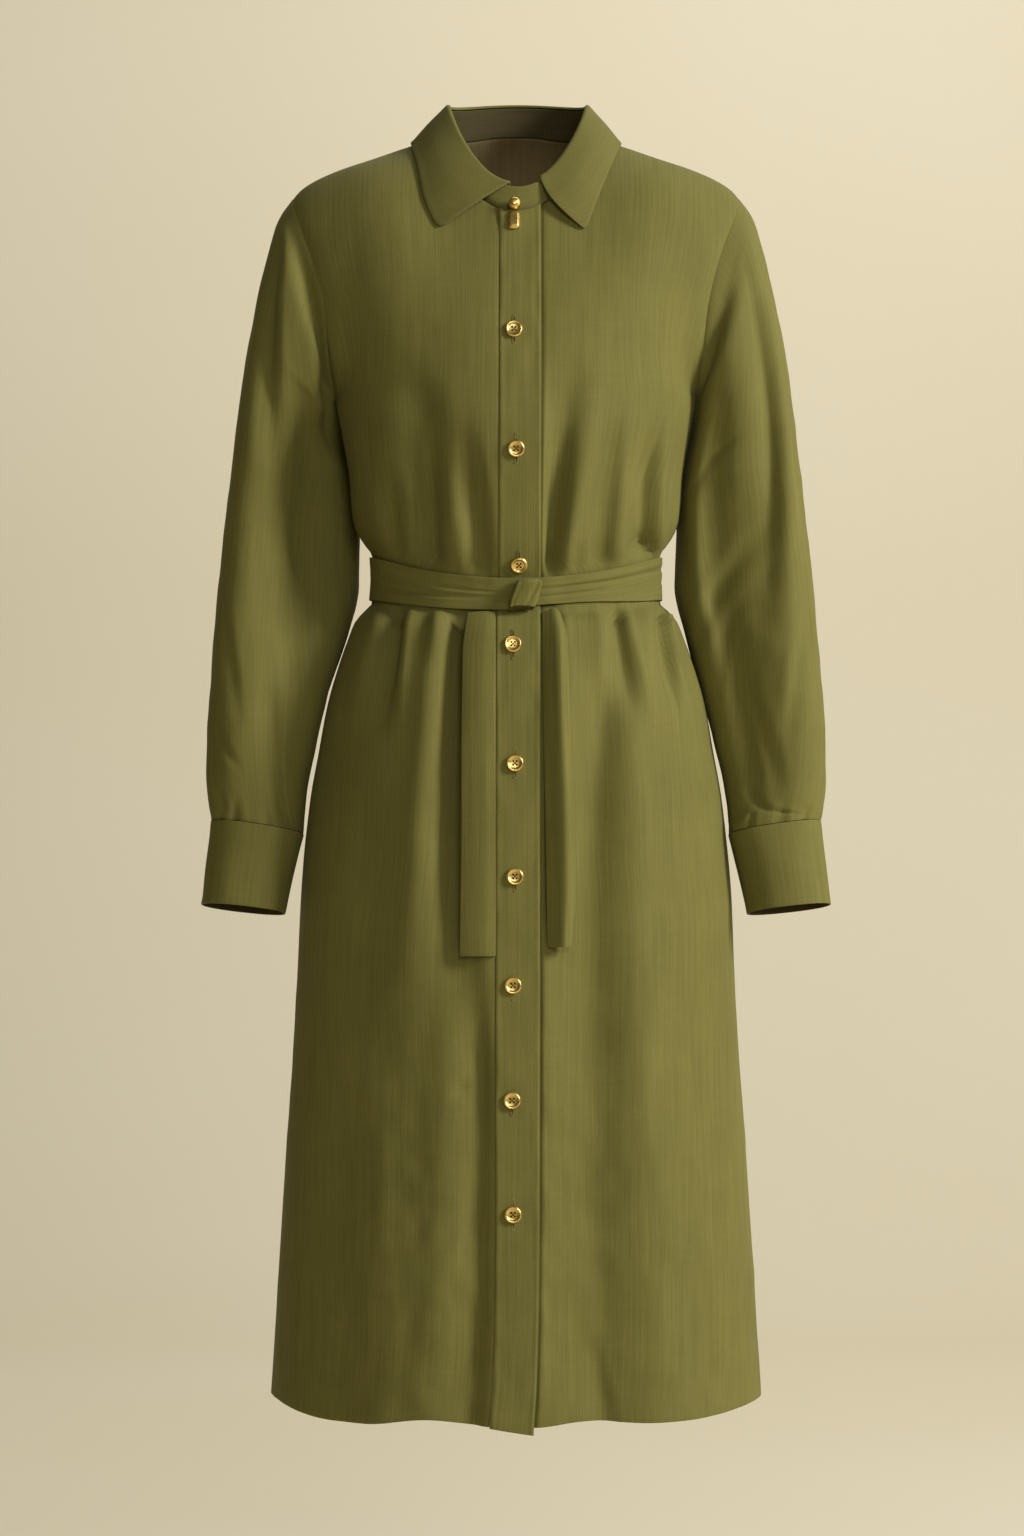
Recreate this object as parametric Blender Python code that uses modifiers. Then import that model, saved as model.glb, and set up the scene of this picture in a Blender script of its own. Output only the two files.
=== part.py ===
"""Shirt dress, long sleeved and tied at the waist, filled out as when it is worn.

The dress is hollow: every piece of cloth is a thin wall. The front faces -Y and +Z is up.
The origin lies midway between the tops of the two shoulder seams, where the wearer holds it.
Sizes below are millimetres, and MM turns them into Blender's metres.
"""

import math
from bisect import bisect_left
from collections import namedtuple
from functools import lru_cache

import bmesh
import bpy
import numpy as np
from mathutils import Matrix

MM = 0.001

# ---------------------------------------------------------------- driving sizes
WALL = 1.2
DOUBLE_WALL = 1.6
SEAM_GAP = 0.3
HALF_SEAM_SHIFT = 0.21
LAYER_GAP = 0.4
SECTION_POWER = 2.25

UNDERARM = -226.0
HEM = -1118.0
MIDDLE_OF_DRESS = (0.0, 0.0, -560.0)
MIDDLE_OF_NECK = (0.0, 0.0, -10.0)
UNDER_NECK = (0.0, 5.0, -60.0)
SHOULDER_TIP = (200.0, 6.0, -45.0)
SHOULDER_SEAM_DEPTH = 5.0
NECK_HALF_WIDTH = 70.0
NECK_FRONT_DEPTH = 67.0
NECK_BACK_DEPTH = 52.0
NECK_SHARE = 0.34
NECK_TABLE_STEP = 7.5
SEARCH_STEPS = 20

# One row for each level of the body, from above the underarm to the hem. The widths and depths
# are of the outer face. sag lowers the front's centre, and crease scales the folds' depth there.
Section = namedtuple("Section", "level half_width front back sag crease")
SECTIONS = (
    Section(-180, 166, 103, 106, 0, 0.3),
    Section(-226, 162, 108, 105, 0, 0.8),
    Section(-259, 155.7, 115, 102, 0, 1),
    Section(-301, 149.4, 110, 97, 3, 1),
    Section(-322, 148, 106, 95.5, 8, 1),
    Section(-334, 146.5, 104, 94.5, 12, 1),
    Section(-346, 142, 101, 92, 17, 1),
    Section(-356, 135.5, 96, 88.5, 20, 0.7),
    Section(-365, 129.3, 91, 85, 22, 0.15),
    Section(-386, 128, 88, 84, 18, 0.1),
    Section(-409, 130, 90, 86, 12, 0.15),
    Section(-416, 136.5, 96, 92, 9, 0.7),
    Section(-425, 144.5, 103, 100, 6, 1),
    Section(-441, 151, 108, 106, 3, 1),
    Section(-459, 157.5, 111, 110, 1, 1),
    Section(-500, 169.5, 117, 118, 0, 1),
    Section(-540, 177, 120, 123, 0, 1),
    Section(-585, 185, 123, 127, 0, 1),
    Section(-675, 193.5, 127, 132, 0, 1),
    Section(-765, 197.5, 131, 135, 0, 1),
    Section(-945, 209.5, 138, 141, 0, 1),
    Section(-1118, 220, 145, 147, 5, 1),
)

# Heights of the shoulder seam by distance from the centre, and the armhole's distance by height.
# The seam's line goes on over the neck's opening, so that the cloth round the opening is smooth.
ShoulderPoint = namedtuple("ShoulderPoint", "across height")
SHOULDER_SEAM = (
    ShoulderPoint(0, 38),
    ShoulderPoint(12, 37.4),
    ShoulderPoint(42, 27),
    ShoulderPoint(70, 12),
    ShoulderPoint(107, -1),
    ShoulderPoint(133, -10),
    ShoulderPoint(159, -19),
    ShoulderPoint(180, -28.4),
    ShoulderPoint(193, -37),
    ShoulderPoint(200, -45),
)
ArmholePoint = namedtuple("ArmholePoint", "height across")
ARMHOLE = (
    ArmholePoint(-226, 161),
    ArmholePoint(-188, 165),
    ArmholePoint(-150, 169),
    ArmholePoint(-118, 176),
    ArmholePoint(-94, 183.5),
    ArmholePoint(-72, 192),
    ArmholePoint(-55, 198),
    ArmholePoint(-45, 200),
)
ARMHOLE_FRONT_REACH = 52.0
ARMHOLE_BACK_REACH = 58.0
ARMHOLE_SHARE = 0.70
ARMHOLE_PULL_FROM = 0.4

# How the cloth lies over the shoulders: its slope in degrees where it meets the shoulder's line,
# and how full the curve up to it is, beside the neck and out on the shoulder.
FRONT_SLOPE_AT_NECK = 41.0
BACK_SLOPE_AT_NECK = 8.0
SHOULDER_SLOPE = 6.0
FRONT_FULLNESS = (0.8, 1.05)
BACK_FULLNESS = (1.32, 1.22)

# Rows of the grid: how many strips lie between one level and the next.
Zone = namedtuple("Zone", "top bottom strips")
BODY_ZONES = (
    Zone(-226, -322, 4),
    Zone(-322, -365, 4),
    Zone(-365, -409, 2),
    Zone(-409, -425, 2),
    Zone(-425, -459, 2),
    Zone(-459, -675, 4),
    Zone(-675, -1118, 7),
)
UPPER_STRIPS = 8
FRONT_NECK_COLUMNS = 6
FRONT_SIDE_COLUMNS = 11
BACK_NECK_COLUMNS = 5
BACK_SIDE_COLUMNS = 10

# Folds of the cloth: each is a soft trough whose centre runs through three places. across is the
# distance from the centre, on the wearer's left if positive. One whose low end is below the hem
# runs out over it at full depth.
Fold = namedtuple("Fold", "across_top top across_mid mid across_low low width depth")
FRONT_FOLDS = (
    Fold(-88, -237, -77, -285, -75, -372, 9, 9),
    Fold(-56, -250, -42, -297, -24, -368, 10, 4.5),
    Fold(-110, -300, -108, -330, -106, -368, 9, 8),
    Fold(50, -222, 39, -300, 29, -385, 9, 11),
    Fold(84, -240, 82, -300, 72, -375, 9, 5.5),
    Fold(129, -264, 125, -310, 126, -356, 9, 7),
    Fold(-98, -408, -103, -450, -114, -515, 7.5, 8),
    Fold(-47, -408, -58, -560, -57, -735, 12, 12),
    Fold(77, -404, 78, -425, 80, -455, 6, 6),
    Fold(87, -408, 95, -530, 104, -730, 10, 8),
    Fold(128, -406, 134, -441, 142, -492, 7, 8),
    Fold(31, -406, 33, -560, 33, -720, 10, 7),
    Fold(-40, -750, -30, -880, -42, -1130, 14, 6),
    Fold(98, -740, 82, -940, 100, -1130, 24, 9),
    Fold(-150, -850, -152, -960, -156, -1100, 17, 4),
)
BACK_FOLDS = (
    Fold(-104, -262, -96, -315, -92, -372, 10, 8),
    Fold(-62, -225, -52, -300, -48, -375, 10, 9),
    Fold(-14, -262, -16, -320, -18, -375, 9, 6),
    Fold(24, -240, 26, -310, 28, -375, 10, 8),
    Fold(70, -220, 62, -300, 60, -372, 10, 9),
    Fold(110, -280, 103, -330, 98, -372, 9, 7),
    Fold(-126, -405, -132, -440, -140, -500, 8, 7),
    Fold(-84, -404, -92, -520, -104, -720, 11, 10),
    Fold(-44, -404, -46, -440, -50, -520, 8, 7),
    Fold(-2, -404, 0, -600, 4, -860, 13, 12),
    Fold(42, -404, 46, -450, 52, -540, 8, 7),
    Fold(82, -404, 92, -540, 102, -760, 11, 11),
    Fold(124, -405, 130, -440, 138, -495, 8, 7),
    Fold(-60, -700, -66, -880, -74, -1130, 20, 8),
    Fold(60, -760, 56, -920, 62, -1130, 20, 8),
    Fold(-140, -800, -146, -940, -152, -1130, 18, 6),
    Fold(142, -760, 148, -920, 152, -1130, 18, 6),
)
FOLD_FADE = 26.0
SIDE_SEAM_FLAT = 0.1
FRONT_EDGE_FLAT = 14.0

# The placket's two edges by level, and how the layers at the front's centre lie over each other.
PlacketEdge = namedtuple("PlacketEdge", "level left right")
PLACKET_EDGES = (
    PlacketEdge(0, -14.5, 21.6),
    PlacketEdge(-365, -14.8, 21.4),
    PlacketEdge(-424, -17, 21),
    PlacketEdge(-1000, -18, 19.5),
    PlacketEdge(-1080, -19.5, 17.5),
    PlacketEdge(-1118, -23, 15),
)
PLACKET_OUT = WALL + LAYER_GAP + 0.6
PLACKET_DROP = 4.0
FRONT_LIFT = WALL + LAYER_GAP
FRONT_LIFT_FADE = 70.0
BUTTON_STAND_EDGE = -12.0

Button = namedtuple("Button", "height across")
BUTTONS = (
    Button(-174, -1.9),
    Button(-278, 0),
    Button(-377, 2.5),
    Button(-449, -2.7),
    Button(-552, -1),
    Button(-650, -1),
    Button(-744, -2.7),
    Button(-843, -3.6),
    Button(-941, -2.7),
)
BUTTON_DIAMETER = 15.0
BUTTON_THICKNESS = 3.0
BUTTON_DISH = 1.2
BUTTON_STEPS = 14
BALL_DIAMETER = 11.2
BALL_FLATNESS = 0.75
BALL_FOOT = 1.2
BALL_ACROSS = -1.8
BALL_UP_STAND = 0.23
BAR_WIDTH = 10.2
BAR_HEIGHT = 18.0
BAR_THICKNESS = 5.0
BAR_BEVEL = 2.2
BAR_PLACE = Button(-75.5, -1.8)

# The collar's stand is a band whose two ends lie over each other at the front. Turns count in
# degrees round the neck from the front's centre, by the wearer's right.
STAND_HALF_WIDTH = 61.5
STAND_FRONT_DEPTH = 63.0
STAND_BACK_DEPTH = 48.0
STAND_SIDE_HEIGHT = 38.0
STAND_FRONT_DROP = 80.5
STAND_BACK_RISE = 9.0
STAND_SHIFT = 1.5
STAND_RAISE_BACK = 1.2
STAND_RAISE_FRONT = 2.5
STAND_START = -20.0
STAND_END = 370.0
STAND_STEP = 10.0
OVERLAP_LIFT = 2.4
OVERLAP_LIFT_FROM = 15.0
OVERLAP_LIFT_FADE = 60.0

# The collar's free edge lies on the body at a quarter and a level, a little above it.
CollarEdge = namedtuple("CollarEdge", "turn quarter level")
COLLAR_EDGE = (
    CollarEdge(6.5, -0.261, 0.613),
    CollarEdge(22, -0.353, 0.655),
    CollarEdge(42, -0.405, 0.820),
    CollarEdge(62, -0.442, 0.939),
    CollarEdge(80, -0.457, 1.0),
    CollarEdge(100, -1.570, 0.928),
    CollarEdge(120, -1.634, 0.845),
    CollarEdge(142, -1.784, 0.849),
    CollarEdge(162, -1.898, 0.858),
    CollarEdge(180, -2.000, 0.858),
    CollarEdge(198, 1.898, 0.858),
    CollarEdge(218, 1.784, 0.849),
    CollarEdge(240, 1.634, 0.845),
    CollarEdge(260, 1.570, 0.928),
    CollarEdge(280, 0.457, 1.0),
    CollarEdge(300, 0.397, 0.836),
    CollarEdge(322, 0.306, 0.717),
    CollarEdge(340.5, 0.2234, 0.6566),
)
COLLAR_COLUMNS = 28
COLLAR_SHARES = (0.2, 0.5, 0.78, 1.0)
COLLAR_SEAT = 2.2
COLLAR_ROLL_GAP = 0.5
COLLAR_ROLL = (1.0, 1.4)
COLLAR_BULGE_BACK = 1.0
COLLAR_BULGE_FRONT = 4.0

# A sleeve's rings, from the armhole to the cuff's seam. outer and inner are the ring's places
# farthest from and nearest to the body, front and back its reach along Y, and tilt raises its
# front edge. tuck is how far back the inner side lies, so that it passes behind the bodice.
Ring = namedtuple("Ring", "outer_x outer_z inner_x inner_z front back tilt tuck")
SLEEVE_RINGS = (
    Ring(200, -45, 161, -226, -50, 58, 0, 0),
    Ring(212, -62, 163.5, -229, -54, 61, 0, 0),
    Ring(223, -97, 162.5, -235, -58, 62, 0, 4),
    Ring(234, -144, 160.5, -244, -59, 62, 0, 11),
    Ring(244, -196, 157.5, -257, -59, 61, 0, 20),
    Ring(250.5, -245, 153.2, -275, -58, 59, 0, 27),
    Ring(255.5, -290, 148.4, -303, -57, 57, 0, 34),
    Ring(261, -338, 147, -345, -57, 54, 0, 31),
    Ring(265.5, -385, 146.5, -391, -58, 50, 1, 21),
    Ring(270, -430, 156, -437, -58, 44, 2, 11),
    Ring(273.5, -477, 169, -485, -56, 37, 3, 4),
    Ring(277, -523, 180, -532, -53, 30, 3.5, 0),
    Ring(277.5, -563, 188, -573, -51, 23, 4, 0),
    Ring(275, -590, 190.5, -602, -50, 18, 4.5, 0),
    Ring(272.5, -603, 190.5, -615, -50, 16, 4.5, 0),
)
CUFF_RINGS = (
    Ring(273, -603.6, 190, -615.6, -51, 16.5, 4.5, 0),
    Ring(277, -641, 199, -652, -56, 12, 4.5, 0),
    Ring(281, -678, 206, -686, -61, 7.5, 4.5, 0),
)
SLEEVE_STRIPS = 20
SLEEVE_COLUMNS = 18
CUFF_STRIPS = 3
ARMHOLE_BLEND = 0.2
ARMHOLE_CLEARANCE = 0.4
UNDERARM_CLEARANCE = 2.9

# Soft troughs of a sleeve: round counts from the outer side (0) by the front (0.25) to the inner
# side (0.5), and along runs from the armhole (0) to the cuff (1).
SleeveFold = namedtuple("SleeveFold", "round_top top round_low low width depth")
RIGHT_SLEEVE_FOLDS = (
    SleeveFold(0.17, 0.16, 0.20, 0.62, 0.035, 5.0),
    SleeveFold(0.36, 0.30, 0.33, 0.60, 0.035, 4.0),
    SleeveFold(0.10, 0.62, 0.24, 0.92, 0.035, 3.5),
    SleeveFold(0.70, 0.20, 0.76, 0.70, 0.040, 5.0),
    SleeveFold(0.88, 0.50, 0.84, 0.92, 0.035, 4.0),
)
LEFT_SLEEVE_FOLDS = (
    SleeveFold(0.24, 0.10, 0.40, 0.36, 0.035, 5.5),
    SleeveFold(0.15, 0.24, 0.22, 0.60, 0.035, 6.0),
    SleeveFold(0.40, 0.62, 0.30, 0.84, 0.035, 4.5),
    SleeveFold(0.72, 0.20, 0.78, 0.66, 0.040, 5.0),
    SleeveFold(0.86, 0.48, 0.82, 0.90, 0.035, 4.0),
)

# The belt lies round the waist between two levels. Its ends hang from the knot.
BELT_TOP = -366.5
BELT_BOTTOM = -406.0
BELT_BOTTOM_NEAR_KNOT = -398.0
BELT_RISE_QUARTER = 0.22
BELT_RISE_WIDTH = 0.3
BELT_ROWS = (0.0, 0.5, 1.0)
BELT_COLUMNS = 48
BELT_WALL = 1.6
BELT_OUT = WALL + 0.9
BELT_OVER_PLACKET = 22.0
BELT_OVER_FADE = 20.0

BeltEndPoint = namedtuple("BeltEndPoint", "height left right ridge")
BELT_END_RIGHT = (
    BeltEndPoint(-424, -42, -18.5, 1.5),
    BeltEndPoint(-455, -46, -17.5, 2),
    BeltEndPoint(-540, -47, -17.5, 2),
    BeltEndPoint(-640, -47.5, -17.5, 2),
    BeltEndPoint(-719, -48.5, -17.5, 2),
)
BELT_END_LEFT = (
    BeltEndPoint(-419, 22.5, 37, 4),
    BeltEndPoint(-445, 22.5, 44, 9),
    BeltEndPoint(-520, 23.5, 46.5, 11),
    BeltEndPoint(-600, 25, 50, 11),
    BeltEndPoint(-655, 26, 51, 10),
    BeltEndPoint(-711, 27, 47.5, 8),
)
StripColumn = namedtuple("StripColumn", "share rise")
BELT_END_COLUMNS = (
    StripColumn(0.0, 0.0),
    StripColumn(0.35, 0.75),
    StripColumn(0.66, 1.0),
    StripColumn(1.0, 0.15),
)
LEAST_STRIP = 5.0

# The knot's face slants: its corners by height, on each side.
KnotEdge = namedtuple("KnotEdge", "height left right")
KNOT_TOP = KnotEdge(-387.5, 0.2, 22.8)
KNOT_FOOT = KnotEdge(-423.0, -7.3, 15.3)
KNOT_THICKNESS = 12.0
KNOT_BELLY = 3.0

Finish = namedtuple("Finish", "name colour roughness metallic")
COTTON = Finish("cotton", (0.115, 0.104, 0.030), 0.85, 0.0)
BRASS = Finish("brass", (0.60, 0.38, 0.11), 0.32, 1.0)
CLOTH_SMOOTH_BELOW = 40.0
BAR_SMOOTH_BELOW = 20.0
MERGE = 1e-6
SCREW_MERGE = 1e-5


# ---------------------------------------------------------------- numbers and curves
def smooth_step(value):
    value = min(max(value, 0.0), 1.0)
    return value * value * (3 - 2 * value)


def mix(first, second, share):
    return first + (second - first) * share


def unit(vector):
    return vector / np.linalg.norm(vector)


@lru_cache(maxsize=None)
def slopes_of(keys, values):
    """Slopes of a curve through the points that never overshoots them."""
    steps = [high - low for low, high in zip(keys, keys[1:])]
    rises = [(high - low) / step for low, high, step in zip(values, values[1:], steps)]
    slopes = [0.0] * len(keys)
    slopes[0] = rises[0]
    slopes[-1] = rises[-1]
    for i in range(1, len(keys) - 1):
        if rises[i - 1] * rises[i] > 0:
            before = 2 * steps[i] + steps[i - 1]
            after = steps[i] + 2 * steps[i - 1]
            slopes[i] = (before + after) / (before / rises[i - 1] + after / rises[i])
    return slopes


def smooth_value(keys, values, at):
    """The value at a key, on a smooth curve through the table's points."""
    keys = tuple(keys)
    values = tuple(values)
    if keys[0] > keys[-1]:
        keys = keys[::-1]
        values = values[::-1]
    at = min(max(at, keys[0]), keys[-1])
    slopes = slopes_of(keys, values)
    i = min(max(bisect_left(keys, at) - 1, 0), len(keys) - 2)
    step = keys[i + 1] - keys[i]
    t = (at - keys[i]) / step
    start = (1 + 2 * t) * (1 - t) ** 2 * values[i] + t * (1 - t) ** 2 * step * slopes[i]
    end = t * t * (3 - 2 * t) * values[i + 1] - t * t * (1 - t) * step * slopes[i + 1]
    return start + end


@lru_cache(maxsize=None)
def column_of(table, name):
    return tuple(getattr(row, name) for row in table)


@lru_cache(maxsize=None)
def from_table(table, key, name, at):
    """A named column of a table, read at a place between its rows."""
    return smooth_value(column_of(table, key), column_of(table, name), at)


def front_share(turn):
    """1 at the front's centre of the neck, falling to 0 at the back's."""
    return (1 + math.cos(math.radians(turn))) / 2


# ---------------------------------------------------------------- the body's surface
# A place on the body is a quarter and a level. The quarter is 0 at the front's centre, 1 at the
# wearer's left side seam and 2 at the back's centre, and negative on the wearer's right. A level
# below 0 is a height in millimetres; from 0 to 1 it runs from the underarm to the top edges.
def section_point(quarter, height):
    """A point of the inner face below the underarm, with no folds, and its level normal."""
    half_width, front, back, sag = (
        from_table(SECTIONS, "level", name, height) for name in ("half_width", "front", "back", "sag")
    )
    angle = abs(quarter) * math.pi / 2
    is_front = abs(quarter) <= 1
    half_width = half_width - WALL
    depth = (front if is_front else back) - WALL
    across = max(math.sin(angle), 0.0) ** (2 / SECTION_POWER)
    along = abs(math.cos(angle)) ** (2 / SECTION_POWER)
    side = math.copysign(1, quarter)
    facing = -1 if is_front else 1
    lowered = sag * math.cos(angle) ** 2 if is_front else 0.0
    point = np.array((side * half_width * across, facing * depth * along, height - lowered))
    power = SECTION_POWER - 1
    normal = np.array((side * across**power / half_width, facing * along**power / depth, 0.0))
    return point, unit(normal)


def fold_depth(table, across, height):
    depth = 0.0
    for fold in table:
        if not fold.low < height < fold.top:
            continue
        heights = (fold.top, fold.mid, fold.low)
        centre = smooth_value(heights, (fold.across_top, fold.across_mid, fold.across_low), height)
        to_end = fold.top - height
        if fold.low > HEM:
            to_end = min(to_end, height - fold.low)
        bell = math.exp(-(((across - centre) / fold.width) ** 2))
        depth += fold.depth * smooth_step(to_end / FOLD_FADE) * bell
    return depth


def shell_point(side, is_front, share, up):
    """The cloth above the underarm, as if it also closed over the neck.

    share runs from the centre (0) to the armhole (1), and up from the underarm to the shoulders.
    """
    quarter = side * (share if is_front else max(2 - share, 1 + 1e-9))
    low = section_point(quarter, UNDERARM)[0]
    start_way = unit(section_point(quarter, UNDERARM + 20)[0] - low)
    across = SHOULDER_TIP[0] * math.sin(share * math.pi / 2) ** (2 / SECTION_POWER)
    height = from_table(SHOULDER_SEAM, "across", "height", across)
    high = np.array((side * across, SHOULDER_SEAM_DEPTH, height))
    beside_neck = smooth_step(2 * share)
    at_neck = FRONT_SLOPE_AT_NECK if is_front else BACK_SLOPE_AT_NECK
    slope = math.radians(mix(at_neck, SHOULDER_SLOPE, beside_neck))
    end_way = np.array((0.0, math.cos(slope) * (1 if is_front else -1), math.sin(slope)))
    fullness = mix(*(FRONT_FULLNESS if is_front else BACK_FULLNESS), beside_neck)
    reach = np.linalg.norm(high - low) * fullness
    leaving = start_way * reach * up * (1 - up) ** 2
    arriving = end_way * reach * up * up * (1 - up)
    return mix(low, high, smooth_step(up)) + leaving - arriving


def share_across(is_front, across, up):
    """The share at which the shell reaches a distance from the centre."""
    low, high = 0.0, 1.0
    for _ in range(SEARCH_STEPS):
        share = (low + high) / 2
        if shell_point(1, is_front, share, up)[0] < across:
            low = share
        else:
            high = share
    return share


def shoulder_share(across):
    return math.asin((across / SHOULDER_TIP[0]) ** (SECTION_POWER / 2)) / (math.pi / 2)


NeckPlace = namedtuple("NeckPlace", "turn share up")


@lru_cache(maxsize=None)
def neck_places(is_front):
    """Where the neck's seam runs on the shell, from the centre (0 degrees) to the side (90)."""
    places = []
    for turn in np.arange(0, 90, NECK_TABLE_STEP):
        across = NECK_HALF_WIDTH * math.sin(math.radians(turn))
        reach = (NECK_FRONT_DEPTH if is_front else NECK_BACK_DEPTH) * math.cos(math.radians(turn))
        low, high = 0.2, 1.0
        for _ in range(SEARCH_STEPS):
            up = (low + high) / 2
            share = share_across(is_front, across, up)
            if abs(shell_point(1, is_front, share, up)[1] - SHOULDER_SEAM_DEPTH) > reach:
                low = up
            else:
                high = up
        places.append(NeckPlace(float(turn), share, up))
    places.append(NeckPlace(90.0, shoulder_share(NECK_HALF_WIDTH), 1.0))
    return tuple(places)


def neck_seam(turn):
    """A point of the neck's seam."""
    turn = turn % 360
    side = -1 if turn < 180 else 1
    turn = min(turn, 360 - turn)
    is_front = turn <= 90
    turn = turn if is_front else 180 - turn
    table = neck_places(is_front)
    share = from_table(table, "turn", "share", turn)
    return shell_point(side, is_front, share, from_table(table, "turn", "up", turn))


def armhole_edge(is_front, up):
    """The armhole's edge from the underarm (0) to the shoulder's tip (1), on the wearer's left."""
    angle = math.pi * up
    middle = (UNDERARM + SHOULDER_TIP[2]) / 2
    reach = (SHOULDER_TIP[2] - UNDERARM) / 2
    height = middle - reach * math.cos(angle)
    across = from_table(ARMHOLE, "height", "across", height)
    out = -ARMHOLE_FRONT_REACH if is_front else ARMHOLE_BACK_REACH
    return np.array((across, SHOULDER_SEAM_DEPTH * up + out * math.sin(angle), height))


def upper_point(quarter, up):
    """The inner face above the underarm: the shell, drawn in to the armhole's edge at the side."""
    side = math.copysign(1, quarter)
    is_front = abs(quarter) <= 1
    share = abs(quarter) if is_front else 2 - abs(quarter)
    if share <= NECK_SHARE:
        turn = 90 * share / NECK_SHARE
        table = neck_places(is_front)
        end_share = from_table(table, "turn", "share", turn)
        end_up = from_table(table, "turn", "up", turn)
    else:
        out = (share - NECK_SHARE) / (1 - NECK_SHARE)
        end_share = shoulder_share(mix(NECK_HALF_WIDTH, SHOULDER_TIP[0], out))
        end_up = 1.0
    narrowing = (1 - ARMHOLE_SHARE) * math.sin(math.pi * up)
    shell_share = mix(share, end_share, up) * (1 - narrowing * share**2)
    point = shell_point(side, is_front, shell_share, up * end_up)
    pull = smooth_step((share - ARMHOLE_PULL_FROM) / (1 - ARMHOLE_PULL_FROM)) ** 1.5
    if pull > 0:
        edge = armhole_edge(is_front, up)
        edge[0] *= side
        point = point + (edge - shell_point(side, is_front, 1 - narrowing, up)) * pull
    return point


def body_base(quarter, level):
    """The inner face without folds."""
    if level >= 0:
        return upper_point(quarter, level)
    return section_point(quarter, level)[0]


def outward(quarter, level):
    """The direction away from the wearer at a place on the body."""
    if level < 0:
        level_normal = section_point(quarter, level)[1]
        along = section_point(quarter, level + 1)[0] - section_point(quarter, level - 1)[0]
        return unit(level_normal - along * (level_normal @ along) / (along @ along))
    nudge = 0.004
    centre = 0.0 if abs(quarter) <= 1 else math.copysign(2, quarter)
    beside = quarter + nudge if abs(quarter) <= nudge else quarter + math.copysign(nudge, centre - quarter)
    along = upper_point(quarter, min(level + 0.02, 1.0)) - upper_point(quarter, max(level - 0.02, 0.0))
    across = upper_point(beside, level) - upper_point(quarter, level)
    normal = unit(np.cross(across, along))
    point = upper_point(quarter, level)
    away = np.array((point[0], point[1], 60.0))
    return normal if normal @ away > 0 else -normal


def crease_at(quarter, level, point):
    """How deep the folds are at a place."""
    if level >= 0:
        scale = 0.8 * (1 - smooth_step(4 * level))
    else:
        scale = from_table(SECTIONS, "level", "crease", level)
    folds = FRONT_FOLDS if abs(quarter) <= 1 else BACK_FOLDS
    return scale * fold_depth(folds, point[0], point[2])


def body_point(quarter, level, out=0.0, fold_scale=1.0):
    """A point of the body's inner face with its folds, moved outwards by a distance."""
    point = body_base(quarter, level)
    depth = 0.0
    if fold_scale > 0:
        by_side_seam = smooth_step(abs(abs(quarter) - 1) / SIDE_SEAM_FLAT)
        depth = crease_at(quarter, level, point) * fold_scale * by_side_seam
    return point + outward(quarter, level) * (out - depth)


def quarter_at(across, level):
    """The quarter near the front's centre whose point lies at a distance from the centre."""
    low, high = -0.6, 0.6
    for _ in range(2 * SEARCH_STEPS):
        middle = (low + high) / 2
        if body_base(middle, level)[0] < across:
            low = middle
        else:
            high = middle
    return (low + high) / 2


def front_place(across, height):
    """The quarter and level of a place seen from the front."""
    if height > UNDERARM:
        low, high = 0.0, 1.0
    else:
        low, high = height - 1, height + 40
    for _ in range(2 * SEARCH_STEPS):
        level = (low + high) / 2
        quarter = quarter_at(across, level)
        if body_base(quarter, level)[2] < height:
            low = level
        else:
            high = level
    return quarter, level


@lru_cache(maxsize=None)
def levels():
    """The levels of the grid's rows, from the top edge to the hem."""
    found = [1 - i / UPPER_STRIPS for i in range(UPPER_STRIPS)] + [0.0]
    for zone in BODY_ZONES:
        found += [mix(zone.top, zone.bottom, (i + 1) / zone.strips) for i in range(zone.strips)]
    return tuple(found)


# ---------------------------------------------------------------- Blender objects
def material_for(name, finish):
    material = bpy.data.materials.new(f"{name}_{finish.name}")
    material.use_nodes = True
    shader = material.node_tree.nodes["Principled BSDF"]
    shader.inputs["Base Color"].default_value = (*finish.colour, 1.0)
    shader.inputs["Roughness"].default_value = finish.roughness
    shader.inputs["Metallic"].default_value = finish.metallic
    return material


def object_from(name, bm, finish, smooth_below=CLOTH_SMOOTH_BELOW):
    mesh = bpy.data.meshes.new(name)
    bm.to_mesh(mesh)
    bm.free()
    mesh.shade_smooth()
    mesh.set_sharp_from_angle(angle=math.radians(smooth_below))
    mesh.materials.append(material_for(name, finish))
    thing = bpy.data.objects.new(name, mesh)
    DRESS.objects.link(thing)
    return thing


def turn_faces_out(bm, centres):
    """Turns the cloth's face away from the nearest of some points that it goes round."""
    facing = 0.0
    for face in bm.faces:
        middle = np.array(face.calc_center_median()) / MM
        nearest = min(centres, key=lambda centre: np.linalg.norm(centre - middle))
        facing += float(np.array(face.normal) @ (middle - nearest)) * face.calc_area()
    if facing < 0:
        bmesh.ops.reverse_faces(bm, faces=bm.faces)


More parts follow.
